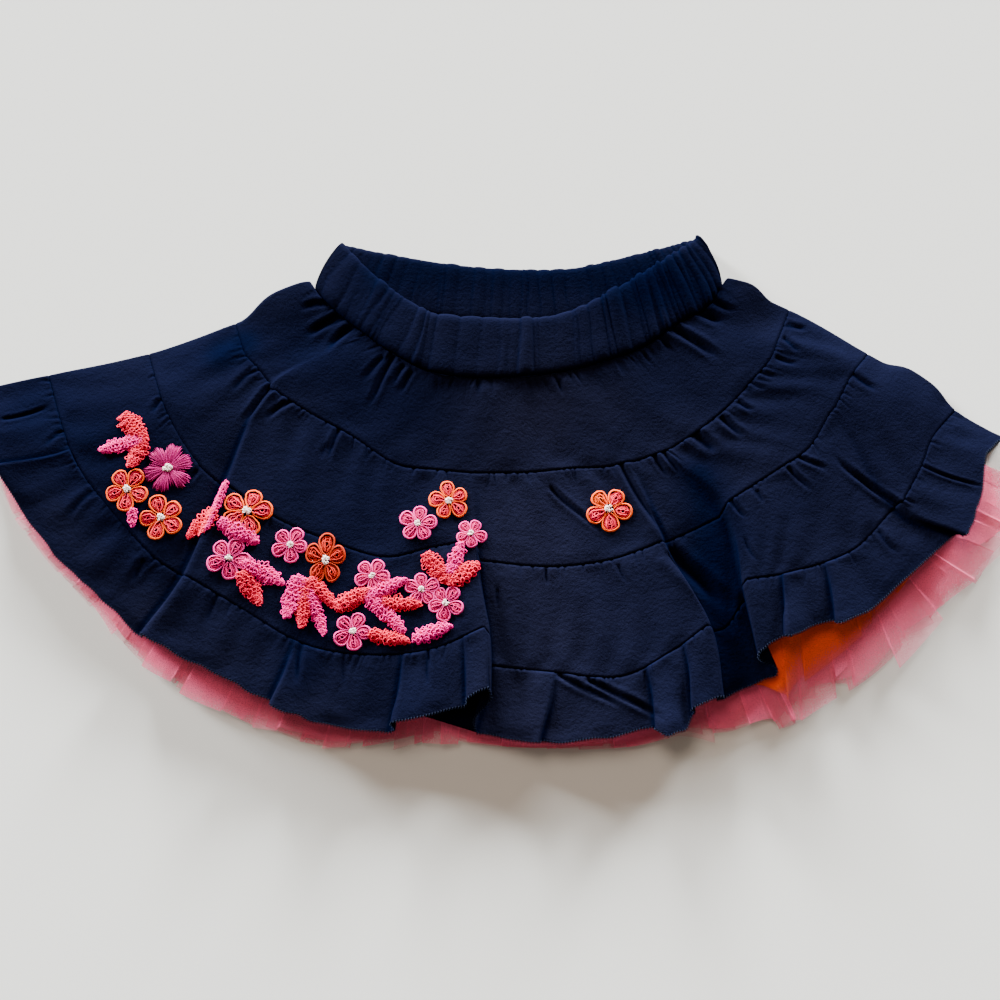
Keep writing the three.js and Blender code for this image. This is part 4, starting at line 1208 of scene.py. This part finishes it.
def flower_threads(middle, across, long, petals, turn, kind, chance):
    """Threads of a flower: corded petals round loops of filling, or satin stitches, and knots.

    Each thread is a shape for one petal, turned to its place and stretched to the flower's size,
    with every point shifted by a little chance.
    """
    threads = []
    wide = 0.44 if petals == 5 else 0.34

    def lay(shape, angle, up, thick, dye):
        """Turns a thread's plan by an angle, stretches it, and lays it on the cloth."""
        spin = np.array([[np.cos(angle), np.sin(angle)], [-np.sin(angle), np.cos(angle)]])
        plan = shape @ spin * np.array([across, long]) / 2 + np.array(middle, float)
        threads.append((on_cloth(plan, up), thick, dye))

    for number in range(petals):
        angle = np.radians(turn + 360 * number / petals + chance.uniform(-5, 5))
        grown = chance.uniform(0.9, 1.06)
        if kind == "magenta":
            for row in np.linspace(-1, 1, 15):
                far = grown * (0.64 + 0.38 * (1 - row**2) ** 0.5 - 0.06 * np.exp(-((row / 0.2) ** 2)))
                far += chance.uniform(-0.04, 0.04)
                spread = row * wide * 1.08
                share = np.linspace(0, 1, 7)
                shape = np.column_stack([0.1 + (far - 0.1) * share, spread * share**0.8])
                shape[1:-1] += chance.normal(0, 0.008, (5, 2))
                dome = 0.25 + 0.6 * np.sin(np.pi * share) * (1 - 0.4 * row**2) + chance.uniform(0, 0.3)
                lay(shape, angle, dome, STITCH, chance.uniform(0, 1))
            continue
        plain = kind == "mixed" and number == 2  # one petal is filled in the outline's colour
        edge = petal(26, 1.0, wide) * grown
        edge += chance.normal(0, 0.006, edge.shape)
        lay(edge, angle, 0.4, CORD, OUTLINE_DYE)
        lay(edge * 0.97 + chance.normal(0, 0.008, edge.shape), angle, 0.7, STRAND, OUTLINE_DYE)
        for scale, up in ((0.74, 0.3), (0.52, 0.55), (0.28, 0.75)):
            loop = petal(18, scale, wide * 0.95) * grown + chance.normal(0, 0.016, (18, 2))
            lay(loop, angle, up, LOOP, OUTLINE_DYE if plain else 1 + chance.uniform(-0.2, 0))
        for row in (-0.4, 0.15):
            share = np.linspace(0.05, 1, 9)
            strand = np.column_stack([0.2 + 0.68 * share, row * wide * np.sin(2.4 * share)])
            strand += chance.normal(0, 0.026, strand.shape)
            lay(strand * grown, angle, 0.95, STRAND, 0.2 if plain else chance.uniform(0.7, 1.0))
    for _ in range(16):
        around = np.linspace(0, 2 * np.pi, 9)
        away, spin = 0.155 * chance.uniform() ** 0.5, chance.uniform(0, 6.28)
        spot = away * np.array([np.cos(spin), np.sin(spin)])
        knot = spot + 0.045 * np.column_stack([np.cos(around + spin), 0.8 * np.sin(around + spin)])
        lay(knot, 0.0, 1.15 + 0.4 * np.sin(around), KNOT_YARN, KNOT_DYE)
    return threads


def leaf_threads(start, end, width, chance):
    """Looped yarn that zigzags up a leaf in two passes, a small ring at every step of its way.

    The leaf's half width is a power of a sine along it, its height a low dome, and each pass is a
    zigzag inside that outline plus a circle that turns as it goes.
    """
    start, run = np.array(start, float), np.array(end, float) - np.array(start, float)
    length = np.linalg.norm(run)
    ahead = run / length
    beside = np.array([-ahead[1], ahead[0]])
    threads = []
    for wide, pitch, up in ((1.0, 2.0, 0.25), (0.7, 2.6, 0.75)):
        zigzags = length / pitch
        rings = int(zigzags * (0.62 * width * wide + 1.2) / 1.15)
        t = np.linspace(0, 1, rings * 8)
        knots = np.linspace(0, 1, int(zigzags * 2) + 2)
        wobble = np.interp(t, knots, chance.normal(0, 1, knots.size))
        size = np.interp(t, np.linspace(0, 1, rings), 0.5 + 0.9 * chance.uniform(0, 1, rings) ** 1.5)
        half = width / 2 * wide * np.clip(np.sin(np.pi * (0.1 + 0.88 * t) ** 0.85), 0, 1) ** 0.6
        zigzag = 1 - 4 * np.abs(zigzags * t % 1 - 0.5)
        swing = (half - 0.4).clip(0.2) * (0.95 + 0.14 * wobble) * zigzag
        turn = 2 * np.pi * rings * t
        side = swing + size * np.sin(turn)
        forward = 0.7 + (length - 1.4) * t + size * np.cos(turn) + 0.3 * wobble
        plan = start + forward[:, None] * ahead + side[:, None] * beside
        dome = up + 0.5 * (1 - (side / (width / 2 + 0.6)) ** 2).clip(0, 1)
        dome = dome + 0.22 * np.sin(turn + wobble)
        threads.append((on_cloth(plan, dome), LEAF_YARN, chance.uniform(0, 0.7)))
    return threads


def yarn_twist():
    """The yarn's twist as a normal: a fine, even noise, raised."""
    tree, given, result = effect("yarn_twist", ("Strength",), "Normal", "NodeSocketVector")
    bump = bumped(tree, noise_value(tree, scale=1500.0), distance=0.0003, strength=1.0)
    tree.links.new(given.outputs["Strength"], bump.inputs["Strength"])
    tree.links.new(bump.outputs["Normal"], result.inputs["Normal"])
    return tree


def yarn_material(name, twist, outline, filling):
    """Soft sewing yarn with a fine twist. Its mask is 0 on the outline, 1 inside and 2 on knots."""
    yarn, tree, shader = new_material(name, 0.6, 0.12)
    mask = mask_value(tree, "dye")
    first = dye_and_shade_mix(tree, mask, outline, filling)
    past = mapped(tree, mask, 1.0, 2.0, 0.0, 1.0)
    knots = dye_and_shade_mix(tree, past, filling, KNOT)
    tree.links.new(first.outputs["Result"], knots.inputs["A"])
    tree.links.new(knots.outputs["Result"], shader.inputs["Base Color"])
    twisted = placed_effect(tree, twist, 0.5)
    tree.links.new(twisted.outputs["Normal"], shader.inputs["Normal"])
    return yarn


twist = yarn_twist()
YARNS = {kind: yarn_material(kind + "_yarn", twist, *dyes) for kind, dyes in DYES.items()}
FLOWER_SLOTS = {"magenta": "flower_magenta", "pink": "flower_pink"}
for number, middle, across, long, petals, turn, kind in FLOWERS:
    chance = np.random.default_rng(100 + number)
    sewn = flower_threads(middle, across, long, petals, turn, kind, chance)
    flower = thread_mesh(f"flower_{number}_yarn", sewn)
    wear(flower, YARNS[kind], FLOWER_SLOTS.get(kind, "flower_orange"), f"flower_{number}")
for number, start, end, width, kind in LEAVES:
    chance = np.random.default_rng(200 + number)
    leaf = thread_mesh(f"leaf_{number}_yarn", leaf_threads(start, end, LEAF_FULLNESS * width, chance))
    wear(leaf, YARNS["rose" if kind == "pink" else "coral"], "leaf_" + kind, f"leaf_{number}")
